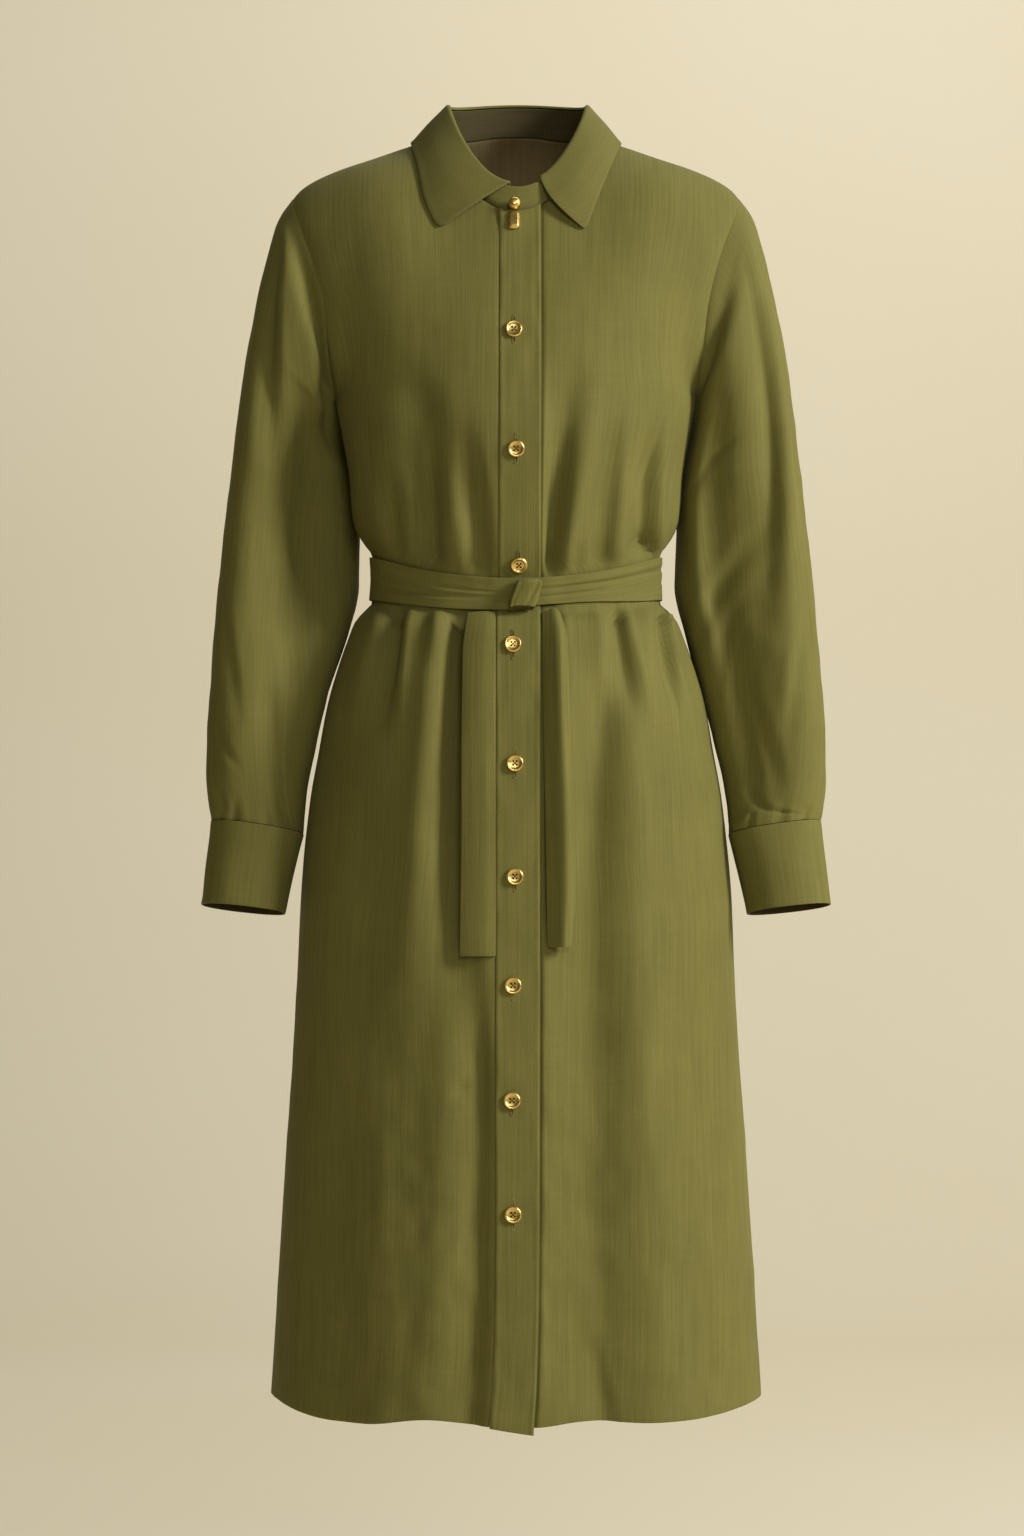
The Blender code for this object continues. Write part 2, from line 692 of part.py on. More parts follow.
def cloth(name, rows, centres, wall=WALL, outwards=True):
    """A grid bent through rows of points, given its wall by Solidify.

    centres are points that the cloth goes round. Its wall grows away from them, or towards them
    where outwards is False.
    """
    columns = len(rows[0])
    bm = bmesh.new()
    bmesh.ops.create_grid(bm, x_segments=columns - 1, y_segments=len(rows) - 1, size=1)
    bm.verts.ensure_lookup_table()
    for i, row in enumerate(rows):
        for j, point in enumerate(row):
            bm.verts[i * columns + j].co = [value * MM for value in point]
    bmesh.ops.remove_doubles(bm, verts=bm.verts, dist=MERGE)
    bm.normal_update()
    turn_faces_out(bm, [np.array(centre) for centre in centres])
    thing = object_from(name, bm, COTTON)
    solidify = thing.modifiers.new("wall", "SOLIDIFY")
    solidify.thickness = wall * MM
    solidify.offset = 1.0 if outwards else -1.0
    solidify.use_even_offset = True
    return thing


def tube(name, rows, wall):
    """Cloth that closes round the middles of its own rows."""
    return cloth(name, rows, [np.mean(row[:-1], axis=0) for row in rows], wall)


# ---------------------------------------------------------------- fronts, back and placket
def placket_edges(level):
    height = min(level, 0.0)
    left = from_table(PLACKET_EDGES, "level", "left", height)
    right = from_table(PLACKET_EDGES, "level", "right", height)
    return left, right


def quarters_from(edge):
    """Columns of a front from its centre edge, by the neck's side, to the side seam."""
    near = [mix(edge, NECK_SHARE, i / FRONT_NECK_COLUMNS) for i in range(FRONT_NECK_COLUMNS)]
    far = [mix(NECK_SHARE, 1.0, i / FRONT_SIDE_COLUMNS) for i in range(FRONT_SIDE_COLUMNS + 1)]
    return near + far


def front_lift(distance):
    """How far the wearer's right front stands off the left one, near the placket's seam."""
    return FRONT_LIFT * (1 - smooth_step(distance / FRONT_LIFT_FADE))


def shifted(rows, along_y):
    """Half of the seams' gap, kept along the side seams and the shoulder seams."""
    return [[point + np.array((0, along_y, 0)) for point in row] for row in rows]


def make_front_right():
    rows = []
    for level in levels():
        seam = placket_edges(level)[0] - SEAM_GAP
        row = []
        for quarter in quarters_from(-quarter_at(seam, level)):
            distance = seam - body_base(-quarter, level)[0]
            flat_edge = smooth_step(distance / FRONT_EDGE_FLAT)
            row.append(body_point(-quarter, level, front_lift(distance), flat_edge))
        rows.append(row)
    cloth("front_right", shifted(rows, -HALF_SEAM_SHIFT), [MIDDLE_OF_DRESS])


def make_front_left():
    rows = []
    for level in levels():
        row = []
        for quarter in quarters_from(quarter_at(BUTTON_STAND_EDGE, level)):
            distance = body_base(quarter, level)[0] + BUTTON_STAND_EDGE
            row.append(body_point(quarter, level, 0.0, smooth_step(distance / FRONT_EDGE_FLAT)))
        rows.append(row)
    cloth("front_left", shifted(rows, -HALF_SEAM_SHIFT), [MIDDLE_OF_DRESS])


def make_back():
    neck = 2 - NECK_SHARE
    half = [mix(1 + 1e-9, neck, i / BACK_SIDE_COLUMNS) for i in range(BACK_SIDE_COLUMNS)]
    half += [mix(neck, 2.0, i / BACK_NECK_COLUMNS) for i in range(BACK_NECK_COLUMNS + 1)]
    quarters = [-quarter for quarter in half] + half[-2::-1]
    rows = [[body_point(quarter, level) for quarter in quarters] for level in levels()]
    cloth("back", shifted(rows, HALF_SEAM_SHIFT), [MIDDLE_OF_DRESS])


def make_placket():
    rows = []
    for level in levels():
        left, right = placket_edges(level)
        quarters = [quarter_at(across, level) for across in (left, (left + right) / 2, right)]
        rows.append([body_point(quarter, level, PLACKET_OUT, 0.0) for quarter in quarters])
    rows[-1] = [point - np.array((0, 0, PLACKET_DROP)) for point in rows[-1]]
    cloth("placket", rows, [MIDDLE_OF_DRESS])


# ---------------------------------------------------------------- sleeves and cuffs
def ring_point(ring, turn):
    """A point of a ring: turn 0 is the outer side, 0.25 the front, 0.5 the inner side."""
    along = math.cos(2 * math.pi * turn)
    ahead = math.sin(2 * math.pi * turn)
    along = math.copysign(abs(along) ** (2 / SECTION_POWER), along)
    ahead = math.copysign(abs(ahead) ** (2 / SECTION_POWER), ahead)
    x = mix(ring.inner_x, ring.outer_x, (1 + along) / 2)
    y = mix(ring.back, ring.front, (1 + ahead) / 2) + ring.tuck * (1 - along) / 2
    z = mix(ring.inner_z, ring.outer_z, (1 + along) / 2) + ring.tilt * ahead
    return np.array((x, y, z))


def ring_at(rings, along):
    """A ring between the table's rings."""
    keys = range(len(rings))
    at = along * (len(rings) - 1)
    return Ring(*[smooth_value(keys, column_of(rings, name), at) for name in Ring._fields])


def shrunk(ring, by):
    """The ring inside another by a distance, in its own plane."""
    out_x, out_z = unit(np.array((ring.outer_x - ring.inner_x, ring.outer_z - ring.inner_z))) * by
    return ring._replace(
        outer_x=ring.outer_x - out_x,
        outer_z=ring.outer_z - out_z,
        inner_x=ring.inner_x + out_x,
        inner_z=ring.inner_z + out_z,
        front=ring.front + by,
        back=ring.back - by,
    )


def armhole_ring_point(turn):
    """The sleeve's first edge: the armhole's, moved off it, most at the underarm."""
    point = armhole_edge(turn <= 0.5, abs(1 - 2 * turn))
    low = (1 - math.cos(2 * math.pi * turn)) / 2
    return point + np.array((mix(ARMHOLE_CLEARANCE, UNDERARM_CLEARANCE, low), 0, 0))


def sleeve_trough(folds, turn, along):
    depth = 0.0
    for fold in folds:
        if fold.top < along < fold.low:
            share = (along - fold.top) / (fold.low - fold.top)
            centre = mix(fold.round_top, fold.round_low, share)
            bell = math.exp(-(((turn - centre) / fold.width) ** 2))
            depth += fold.depth * math.sin(math.pi * share) ** 0.7 * bell
    return depth


def sleeve_point(folds, turn, along):
    """A point of the sleeve's inner face. Near the armhole it follows the armhole's edge."""
    ring = shrunk(ring_at(SLEEVE_RINGS, along), WALL)
    first_ring = shrunk(SLEEVE_RINGS[0], WALL)
    hold = (1 - smooth_step(along / ARMHOLE_BLEND)) ** 2
    to_armhole = armhole_ring_point(turn) - ring_point(first_ring, turn)
    point = ring_point(ring, turn) + to_armhole * hold
    centre = (ring_point(ring, 0.0) + ring_point(ring, 0.5)) / 2
    return point + unit(centre - point) * sleeve_trough(folds, turn, along)


def turns_round():
    """Shares of a turn round a sleeve, ending where they begin."""
    return [i % SLEEVE_COLUMNS / SLEEVE_COLUMNS for i in range(SLEEVE_COLUMNS + 1)]


def on_side(rows, side):
    return [[point * np.array((side, 1, 1)) for point in row] for row in rows]


def make_sleeve(name, folds, side):
    rows = []
    for i in range(SLEEVE_STRIPS + 1):
        rows.append([sleeve_point(folds, turn, i / SLEEVE_STRIPS) for turn in turns_round()])
    tube(f"sleeve_{name}", on_side(rows, side), WALL)


def make_cuff(name, side):
    rows = []
    for i in range(CUFF_STRIPS + 1):
        ring = shrunk(ring_at(CUFF_RINGS, i / CUFF_STRIPS), DOUBLE_WALL)
        rows.append([ring_point(ring, turn) for turn in turns_round()])
    tube(f"cuff_{name}", on_side(rows, side), DOUBLE_WALL)


# ---------------------------------------------------------------- collar
def roll_line(turn):
    """The stand's upper edge, over which the collar folds."""
    angle = math.radians(turn)
    ahead = math.cos(angle)
    across = STAND_SHIFT - STAND_HALF_WIDTH * math.sin(angle)
    if ahead >= 0:
        depth = SHOULDER_SEAM_DEPTH - STAND_FRONT_DEPTH * ahead
        height = STAND_SIDE_HEIGHT - STAND_FRONT_DROP * ahead**1.6
    else:
        depth = SHOULDER_SEAM_DEPTH - STAND_BACK_DEPTH * ahead
        height = STAND_SIDE_HEIGHT + STAND_BACK_RISE * ahead**2
    return np.array((across, depth, height))


def neck_outward(turn):
    """The direction away from the neck, square to the stand."""
    ahead = neck_seam(turn + 1) - neck_seam(turn - 1)
    seam = neck_seam(turn)
    way = unit(np.cross(roll_line(turn) - seam, ahead))
    return way if way @ np.array((seam[0], seam[1], 0)) > 0 else -way


def stand_point(turn, up):
    """A point of the stand's outer face: up is 0 at the neck's seam and 1 at the roll line."""
    low = neck_seam(turn)
    high = roll_line(turn)
    raised = mix(STAND_RAISE_BACK, STAND_RAISE_FRONT, front_share(turn))
    start = raised / np.linalg.norm(high - low)
    lift = OVERLAP_LIFT * (1 - smooth_step((turn - OVERLAP_LIFT_FROM) / OVERLAP_LIFT_FADE))
    return mix(low, high, mix(start, 1.0, up)) + neck_outward(turn) * lift


def make_stand():
    turns = np.arange(STAND_START, STAND_END + 0.1, STAND_STEP)
    rows = [[stand_point(turn, up) for turn in turns] for up in (1.0, 0.0)]
    cloth("collar_stand", rows, [MIDDLE_OF_NECK], DOUBLE_WALL, outwards=False)


@lru_cache(maxsize=None)
def collar_edge_points():
    return [body_point(row.quarter, row.level, COLLAR_SEAT, 0.0) for row in COLLAR_EDGE]


def collar_edge(turn):
    """The collar's free edge, a little above the body under it."""
    turns = column_of(COLLAR_EDGE, "turn")
    points = collar_edge_points()
    return np.array([smooth_value(turns, [point[i] for point in points], turn) for i in range(3)])


def collar_column(turn):
    """Points from the roll line, over it and down to the free edge."""
    out = neck_outward(turn)
    up = np.array((0, 0, 1.0))
    top = stand_point(turn, 1.0) + up * COLLAR_ROLL_GAP
    crest = top + out * COLLAR_ROLL[0] + up * COLLAR_ROLL[1]
    fall = collar_edge(turn) - crest
    off = unit(np.cross(fall, roll_line(turn + 1) - roll_line(turn - 1)))
    if off @ (out + up / 3) < 0:
        off = -off
    bulge = mix(COLLAR_BULGE_BACK, COLLAR_BULGE_FRONT, front_share(turn) ** 2)
    fallen = [crest + fall * share + off * bulge * math.sin(math.pi * share) for share in COLLAR_SHARES]
    return [top, crest] + fallen


def make_collar():
    first = COLLAR_EDGE[0].turn
    last = COLLAR_EDGE[-1].turn
    columns = [collar_column(mix(first, last, i / COLLAR_COLUMNS)) for i in range(COLLAR_COLUMNS + 1)]
    cloth("collar", list(zip(*columns)), [UNDER_NECK], DOUBLE_WALL)


# ---------------------------------------------------------------- belt
def belt_out(across):
    """From the body's inner face to the belt's, over the placket and the lifted front."""
    middle = (PLACKET_EDGES[0].left + PLACKET_EDGES[0].right) / 2
    beside = (abs(across - middle) - BELT_OVER_PLACKET) / BELT_OVER_FADE
    over_placket = PLACKET_OUT * (1 - smooth_step(beside))
    distance = PLACKET_EDGES[0].left - across
    return BELT_OUT + max(over_placket, front_lift(distance) if distance > 0 else 0.0)


def belt_point(quarter, share):
    near_knot = math.exp(-(((quarter - BELT_RISE_QUARTER) / BELT_RISE_WIDTH) ** 2)) if quarter >= 0 else 0.0
    level = mix(BELT_TOP, mix(BELT_BOTTOM, BELT_BOTTOM_NEAR_KNOT, near_knot), share)
    out = belt_out(body_base(quarter, level)[0]) if abs(quarter) < 1 else BELT_OUT
    return body_point(quarter, level, out, 0.0)


def make_belt():
    quarters = [-2 + 4 * (i % BELT_COLUMNS) / BELT_COLUMNS for i in range(BELT_COLUMNS + 1)]
    rows = [[belt_point(quarter, share) for quarter in quarters] for share in BELT_ROWS]
    tube("belt", rows, BELT_WALL)


def belt_end_out(across):
    """From the body's inner face to a hanging end's, clear of the front under it."""
    distance = PLACKET_EDGES[0].left - across
    return WALL + LAYER_GAP + (front_lift(distance) if distance > 0 else 0.0)


def make_belt_end(name, table):
    """A hanging end of the belt: a strip with a soft ridge, bent at the body's own levels."""
    middle = (table[0].left + table[0].right) / 2
    top = front_place(middle, table[0].height)[1]
    bottom = front_place(middle, table[-1].height)[1]
    between = [level for level in levels() if bottom + LEAST_STRIP < level < top - LEAST_STRIP]
    rows = []
    for level in [top] + between + [bottom]:
        height = body_base(quarter_at(middle, level), level)[2]
        left = from_table(table, "height", "left", height)
        right = from_table(table, "height", "right", height)
        ridge = from_table(table, "height", "ridge", height)
        row = []
        for column in BELT_END_COLUMNS:
            across = mix(left, right, column.share)
            out = belt_end_out(across) + ridge * column.rise
            row.append(body_point(quarter_at(across, level), level, out, 0.0))
        rows.append(row)
    cloth(name, rows, [MIDDLE_OF_DRESS], BELT_WALL)


def knot_point(across, depth, up):
    """A corner of the cube, from -1 to 1 each way, moved to its place in the knot."""
    share = (1 - up) / 2
    height = mix(KNOT_TOP.height, KNOT_FOOT.height, share)
    left = mix(KNOT_TOP.left, KNOT_FOOT.left, share)
    right = mix(KNOT_TOP.right, KNOT_FOOT.right, share)
    quarter, level = front_place(mix(left, right, (across + 1) / 2), height)
    seat = belt_out(0.0) + BELT_WALL + LAYER_GAP
    thickness = KNOT_THICKNESS - KNOT_BELLY + KNOT_BELLY * (1 - across**2) * (1 - up**2 / 2)
    return body_point(quarter, level, seat + thickness * (1 - depth) / 2, 0.0)


def make_knot():
    """A soft block: a cube pushed into the knot's slanted shape and subdivided."""
    bm = bmesh.new()
    bmesh.ops.create_cube(bm, size=2)
    bmesh.ops.subdivide_edges(bm, edges=bm.edges, cuts=1, use_grid_fill=True)
    for vert in bm.verts:
        vert.co = [value * MM for value in knot_point(*vert.co)]
    bmesh.ops.recalc_face_normals(bm, faces=bm.faces)
    soften = object_from("belt_knot", bm, COTTON).modifiers.new("soften", "SUBSURF")
    soften.levels = 1
    soften.render_levels = 1


# ---------------------------------------------------------------- buttons
def aim(thing, point, normal):
    """Puts an object at a point, with its Z axis along the normal and its Y axis upwards."""
    z_axis = unit(normal)
    x_axis = unit(np.cross((0, 0, 1.0), z_axis))
    y_axis = np.cross(z_axis, x_axis)
    columns = np.column_stack((x_axis, y_axis, z_axis, point * MM))
    thing.matrix_world = Matrix(np.vstack((columns, (0, 0, 0, 1))).tolist())


def on_placket(thing, place):
    """Seats an object on the placket's outer face."""
    quarter, level = front_place(place.across, place.height)
    point = body_point(quarter, level, PLACKET_OUT + WALL + SEAM_GAP, 0.0)
    aim(thing, point, outward(quarter, level))


def turned(name, profile):
    """A solid turned round Z from a profile that runs from the axis's top to its bottom."""
    bm = bmesh.new()
    verts = [bm.verts.new((radius * MM, 0, height * MM)) for radius, height in profile]
    for first, second in zip(verts, verts[1:]):
        bm.edges.new((first, second))
    thing = object_from(name, bm, BRASS)
    screw = thing.modifiers.new("turn", "SCREW")
    screw.steps = BUTTON_STEPS
    screw.render_steps = BUTTON_STEPS
    screw.use_merge_vertices = True
    screw.merge_threshold = SCREW_MERGE
    screw.use_smooth_shade = True
    return thing


def make_button(name, place):
    """A round button with a rim round its dished face."""
    radius = BUTTON_DIAMETER / 2
    face = BUTTON_THICKNESS - BUTTON_DISH
    profile = (
        (0, face),
        (radius - 2.4, face),
        (radius - 1.1, BUTTON_THICKNESS),
        (radius, BUTTON_THICKNESS - 0.9),
        (radius - 0.6, 0),
        (0, 0),
    )
    on_placket(turned(name, profile), place)


def make_ball():
    """A domed button on a short foot, on the buttoned end of the collar's stand."""
    radius = BALL_DIAMETER / 2
    angles = [math.radians(36 * i) for i in range(5)]
    dome = [(radius * math.sin(a), BALL_FOOT + radius * BALL_FLATNESS * (1 + math.cos(a))) for a in angles]
    ball = turned("stand_ball", dome + [(2.2, 0.0), (0, 0.0)])
    place = mix(stand_point(0, 0.0), stand_point(0, 1.0), BALL_UP_STAND)
    out = neck_outward(0)
    aim(ball, place + out * SEAM_GAP + np.array((BALL_ACROSS, 0, 0)), out)


def make_bar():
    """A bar-shaped button with bevelled faces, at the top of the placket."""
    bm = bmesh.new()
    bmesh.ops.create_cube(bm, size=1)
    bmesh.ops.translate(bm, verts=bm.verts, vec=(0, 0, 0.5))
    bmesh.ops.scale(bm, verts=bm.verts, vec=(BAR_WIDTH * MM, BAR_HEIGHT * MM, BAR_THICKNESS * MM))
    half = BAR_THICKNESS * MM / 2
    top = [edge for edge in bm.edges if all(vert.co.z > half for vert in edge.verts)]
    bmesh.ops.bevel(
        bm, geom=top, offset=BAR_BEVEL * MM, segments=1, profile=0.5, affect="EDGES", material=-1
    )
    on_placket(object_from("placket_bar", bm, BRASS, BAR_SMOOTH_BELOW), BAR_PLACE)


# ---------------------------------------------------------------- the dress
for old in list(bpy.data.objects):
    bpy.data.objects.remove(old, do_unlink=True)
DRESS = bpy.data.collections.new("shirt_dress")
bpy.context.scene.collection.children.link(DRESS)

make_back()
make_front_right()
make_front_left()
make_placket()
make_sleeve("right", RIGHT_SLEEVE_FOLDS, -1)
make_sleeve("left", LEFT_SLEEVE_FOLDS, 1)
make_cuff("right", -1)
make_cuff("left", 1)
make_stand()
make_collar()
make_belt()
make_belt_end("belt_end_right", BELT_END_RIGHT)
make_belt_end("belt_end_left", BELT_END_LEFT)
make_knot()
for i, button in enumerate(BUTTONS):
    make_button(f"button_{i + 1:02d}", button)
make_ball()
make_bar()
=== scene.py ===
# %% [markdown]
# # A shirt dress, worn by nobody
# The measured solids say where each piece of the dress lies. This lesson dresses them: every
# panel becomes a thin shell of cloth with its creases, edges, seams and stitches, and every
# button gets its rim, its holes and its thread. All sizes are millimetres until a point goes
# into a mesh, where MM turns it into metres.

import math
from collections import namedtuple

import bmesh
import bpy
import numpy as np
from mathutils import Matrix, Vector, noise


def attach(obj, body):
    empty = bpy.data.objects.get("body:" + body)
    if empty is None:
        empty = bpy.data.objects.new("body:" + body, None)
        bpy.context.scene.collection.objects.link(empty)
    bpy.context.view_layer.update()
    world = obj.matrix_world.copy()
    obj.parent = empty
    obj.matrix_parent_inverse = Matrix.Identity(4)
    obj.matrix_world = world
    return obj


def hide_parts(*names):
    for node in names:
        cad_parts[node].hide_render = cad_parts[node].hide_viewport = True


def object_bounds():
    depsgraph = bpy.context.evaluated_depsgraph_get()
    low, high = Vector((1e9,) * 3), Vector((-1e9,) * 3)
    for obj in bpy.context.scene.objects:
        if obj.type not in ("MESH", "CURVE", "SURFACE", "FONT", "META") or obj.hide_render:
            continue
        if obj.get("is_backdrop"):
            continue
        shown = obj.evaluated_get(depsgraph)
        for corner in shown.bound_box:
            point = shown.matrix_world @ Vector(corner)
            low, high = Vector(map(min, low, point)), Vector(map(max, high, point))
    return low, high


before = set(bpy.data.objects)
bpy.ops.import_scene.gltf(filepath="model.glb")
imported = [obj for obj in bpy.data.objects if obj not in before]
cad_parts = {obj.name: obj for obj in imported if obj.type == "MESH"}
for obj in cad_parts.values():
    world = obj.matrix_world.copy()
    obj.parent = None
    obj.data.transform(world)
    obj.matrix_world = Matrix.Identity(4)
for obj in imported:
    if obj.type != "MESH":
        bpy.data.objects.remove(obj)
cad_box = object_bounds()
print("solids to dress:", len(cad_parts))

# %% [markdown]
# ## Numbers and curves
# A pattern cutter draws through a few measured points with a curved ruler. The curve here does
# the same: it passes through the rows of a table and never overshoots them. Every function takes
# whole arrays of places, so that a panel of ten thousand points is one call.

# %% Steps, mixes and points
MM = 0.001


def smooth(value):
    """An S-shaped step from 0 to 1."""
    value = np.clip(value, 0.0, 1.0)
    return value * value * (3 - 2 * value)


def mix(first, second, share):
    return first + (second - first) * share


def bell(distance):
    return np.exp(-(distance**2))


def unit(vectors):
    return vectors / np.maximum(np.linalg.norm(vectors, axis=-1, keepdims=True), 1e-12)


def point(x, y, z):
    """Three coordinates, as numbers or arrays, joined into points."""
    return np.stack(np.broadcast_arrays(*(np.asarray(value, float) for value in (x, y, z))), axis=-1)


print("a soft step at a quarter of its way:", smooth(0.25))


# %% Curves through tables
def through(keys, values, at):
    """A smooth curve through points that never overshoots them."""
    keys = np.array(keys, float)
    values = np.array(values, float)
    if keys[0] > keys[-1]:
        keys, values = keys[::-1], values[::-1]
    steps = np.diff(keys)
    rises = np.diff(values) / steps
    slopes = np.concatenate((rises[:1], np.zeros(len(keys) - 2), rises[-1:]))
    for i in range(1, len(keys) - 1):
        if rises[i - 1] * rises[i] > 0:
            before = 2 * steps[i] + steps[i - 1]
            after = steps[i] + 2 * steps[i - 1]
            slopes[i] = (before + after) / (before / rises[i - 1] + after / rises[i])
    at = np.clip(at, keys[0], keys[-1])
    i = np.clip(np.searchsorted(keys, at) - 1, 0, len(keys) - 2)
    t = (at - keys[i]) / steps[i]
    start = (1 + 2 * t) * (1 - t) ** 2 * values[i] + t * (1 - t) ** 2 * steps[i] * slopes[i]
    end = t * t * (3 - 2 * t) * values[i + 1] - t * t * (1 - t) * steps[i] * slopes[i + 1]
    return start + end


def curve(table, key, name, at):
    """A named column of a table, read smoothly at places between its rows."""
    return through([getattr(row, key) for row in table], [getattr(row, name) for row in table], at)


def rows_of(kind, *rows):
    """A table whose rows have named columns."""
    return [kind(*row) for row in rows]


print("a curve through 0, 1 and 0:", through((0, 1, 2), (0, 1, 0), (0.5, 1.0, 1.5)))

# %% [markdown]
# ## The block of the dress
# A dressmaker keeps a block: the measured form that all the panels are cut from. This one is a
# table of level sections, each an oval a little squarer than an ellipse. Above the underarm the
# cloth runs up in a curve to the line of the shoulder seam. A place on it is a share across, from
# the centre (0) to the wearer's left (1) or right (-1) side seam, and a level: millimetres below
# the shoulders, or from 0 to 1 between the underarm and the top edges.

# %% The block's sizes
WALL = 1.2
LAYER_GAP = 0.4
SEAM_SHIFT = 0.21
SECTION_POWER = 2.25
UNDERARM = -226.0
HEM = -1118.0
SHOULDER_TIP = (200.0, 6.0, -45.0)
SHOULDER_SEAM_DEPTH = 5.0
NECK_HALF_WIDTH = 70.0
NECK_FRONT_DEPTH = 67.0
NECK_BACK_DEPTH = 52.0
NECK_SHARE = 0.34
NECK_TABLE_STEP = 7.5
SEARCH_STEPS = 22

Section = namedtuple("Section", "level half_width front back sag")
SECTIONS = rows_of(
    Section,
    (-180, 166, 103, 106, 0), (-226, 162, 108, 105, 0), (-259, 155.7, 115, 102, 0),
    (-301, 149.4, 110, 97, 3), (-322, 148, 106, 95.5, 8), (-334, 146.5, 104, 94.5, 12),
    (-346, 142, 101, 92, 17), (-356, 135.5, 96, 88.5, 20), (-365, 129.3, 91, 85, 22),
    (-386, 128, 88, 84, 18), (-409, 130, 90, 86, 12), (-416, 136.5, 96, 92, 9),
    (-425, 144.5, 103, 100, 6), (-441, 151, 108, 106, 3), (-459, 157.5, 111, 110, 1),
    (-500, 169.5, 117, 118, 0), (-540, 177, 120, 123, 0), (-585, 185, 123, 127, 0),
    (-675, 193.5, 127, 132, 0), (-765, 197.5, 131, 135, 0), (-945, 209.5, 138, 141, 0),
    (-1118, 220, 145, 147, 5),
)
ShoulderPoint = namedtuple("ShoulderPoint", "across height")
SHOULDER_SEAM = rows_of(
    ShoulderPoint,
    (0, 38), (12, 37.4), (42, 27), (70, 12), (107, -1), (133, -10), (159, -19), (180, -28.4),
    (193, -37), (200, -45),
)
ArmholePoint = namedtuple("ArmholePoint", "height across")
ARMHOLE = rows_of(
    ArmholePoint,
    (-226, 161), (-188, 165), (-150, 169), (-118, 176), (-94, 183.5), (-72, 192), (-55, 198),
    (-45, 200),
)
ARMHOLE_REACH = {True: -52.0, False: 58.0}
ARMHOLE_SHARE = 0.70
ARMHOLE_PULL_FROM = 0.4
SLOPE_AT_NECK = {True: 41.0, False: 8.0}
SHOULDER_SLOPE = 6.0
FULLNESS = {True: (0.8, 1.05), False: (1.32, 1.22)}
ARMHOLE_PULL_POWER = 1.5
SLOPE_SPAN = 20.0
NECK_SLOPE_SHARE = 0.5
NECK_SEARCH_FROM = 0.2
LEVEL_STEP = 0.02
SHARE_STEP = 0.004
PLACKET_REACH = 0.6
SAG_REACH = 40.0
print("levels of the block:", len(SECTIONS))

# %% The block's surface
def section(share, height, is_front):
    """The inner face below the underarm."""
    half_width = curve(SECTIONS, "level", "half_width", height) - WALL
    depth = curve(SECTIONS, "level", "front" if is_front else "back", height) - WALL
    angle = np.abs(share) * np.pi / 2
    across = np.sin(angle) ** (2 / SECTION_POWER)
    along = np.abs(np.cos(angle)) ** (2 / SECTION_POWER)
    sag = curve(SECTIONS, "level", "sag", height) * np.cos(angle) ** 2 if is_front else 0.0
    away = -depth if is_front else depth
    return point(np.sign(share) * half_width * across, away * along, height - sag)


def shell(side, share, up, is_front):
    """The cloth above the underarm, as if it closed over the neck too."""
    signed = side * np.minimum(share, 1 - 1e-9)
    low = section(signed, np.full_like(share, UNDERARM), is_front)
    start_way = unit(section(signed, np.full_like(share, UNDERARM + SLOPE_SPAN), is_front) - low)
    across = SHOULDER_TIP[0] * np.sin(share * np.pi / 2) ** (2 / SECTION_POWER)
    high = point(side * across, SHOULDER_SEAM_DEPTH, curve(SHOULDER_SEAM, "across", "height", across))
    beside_neck = smooth(share / NECK_SLOPE_SHARE)
    slope = np.radians(mix(SLOPE_AT_NECK[is_front], SHOULDER_SLOPE, beside_neck))
    end_way = point(0.0, np.cos(slope) * (1 if is_front else -1), np.sin(slope))
    reach = np.linalg.norm(high - low, axis=-1) * mix(*FULLNESS[is_front], beside_neck)
    leaving = start_way * (reach * up * (1 - up) ** 2)[..., None]
    arriving = end_way * (reach * up * up * (1 - up))[..., None]
    return mix(low, high, smooth(up)[..., None]) + leaving - arriving


print("shoulder tip, mm:", SHOULDER_TIP)


# %% Searching the block
def search(test, low, high):
    """Halves a range, for many places at once, until test turns from true to false."""
    for _ in range(SEARCH_STEPS):
        middle = (low + high) / 2
        passed = test(middle)
        low, high = np.where(passed, middle, low), np.where(passed, high, middle)
    return (low + high) / 2


def share_across(across, up, is_front):
    """The share at which the shell reaches a distance from the centre."""
    zero = np.zeros_like(across)
    return search(lambda share: shell(1, share, up, is_front)[..., 0] < across, zero, zero + 1)


def shoulder_share(across):
    return np.arcsin((across / SHOULDER_TIP[0]) ** (SECTION_POWER / 2)) / (np.pi / 2)


NeckPlace = namedtuple("NeckPlace", "turn share up")


def neck_places(is_front):
    """Where the neck's seam runs on the shell, from the centre (0 degrees) to the side (90)."""
    turns = np.arange(0, 90, NECK_TABLE_STEP)
    across = NECK_HALF_WIDTH * np.sin(np.radians(turns))
    reach = (NECK_FRONT_DEPTH if is_front else NECK_BACK_DEPTH) * np.cos(np.radians(turns))

    def is_outside(up):
        place = shell(1, share_across(across, up, is_front), up, is_front)
        return np.abs(place[..., 1] - SHOULDER_SEAM_DEPTH) > reach

    up = search(is_outside, np.full_like(across, NECK_SEARCH_FROM), np.ones_like(across))
    share = share_across(across, up, is_front)
    rows = [NeckPlace(*row) for row in zip(turns, share, up)]
    return rows + [NeckPlace(90.0, shoulder_share(NECK_HALF_WIDTH), 1.0)]


NECK = {True: neck_places(True), False: neck_places(False)}
print("neck seam at the centre, front and back:", NECK[True][0].up.round(3), NECK[False][0].up.round(3))


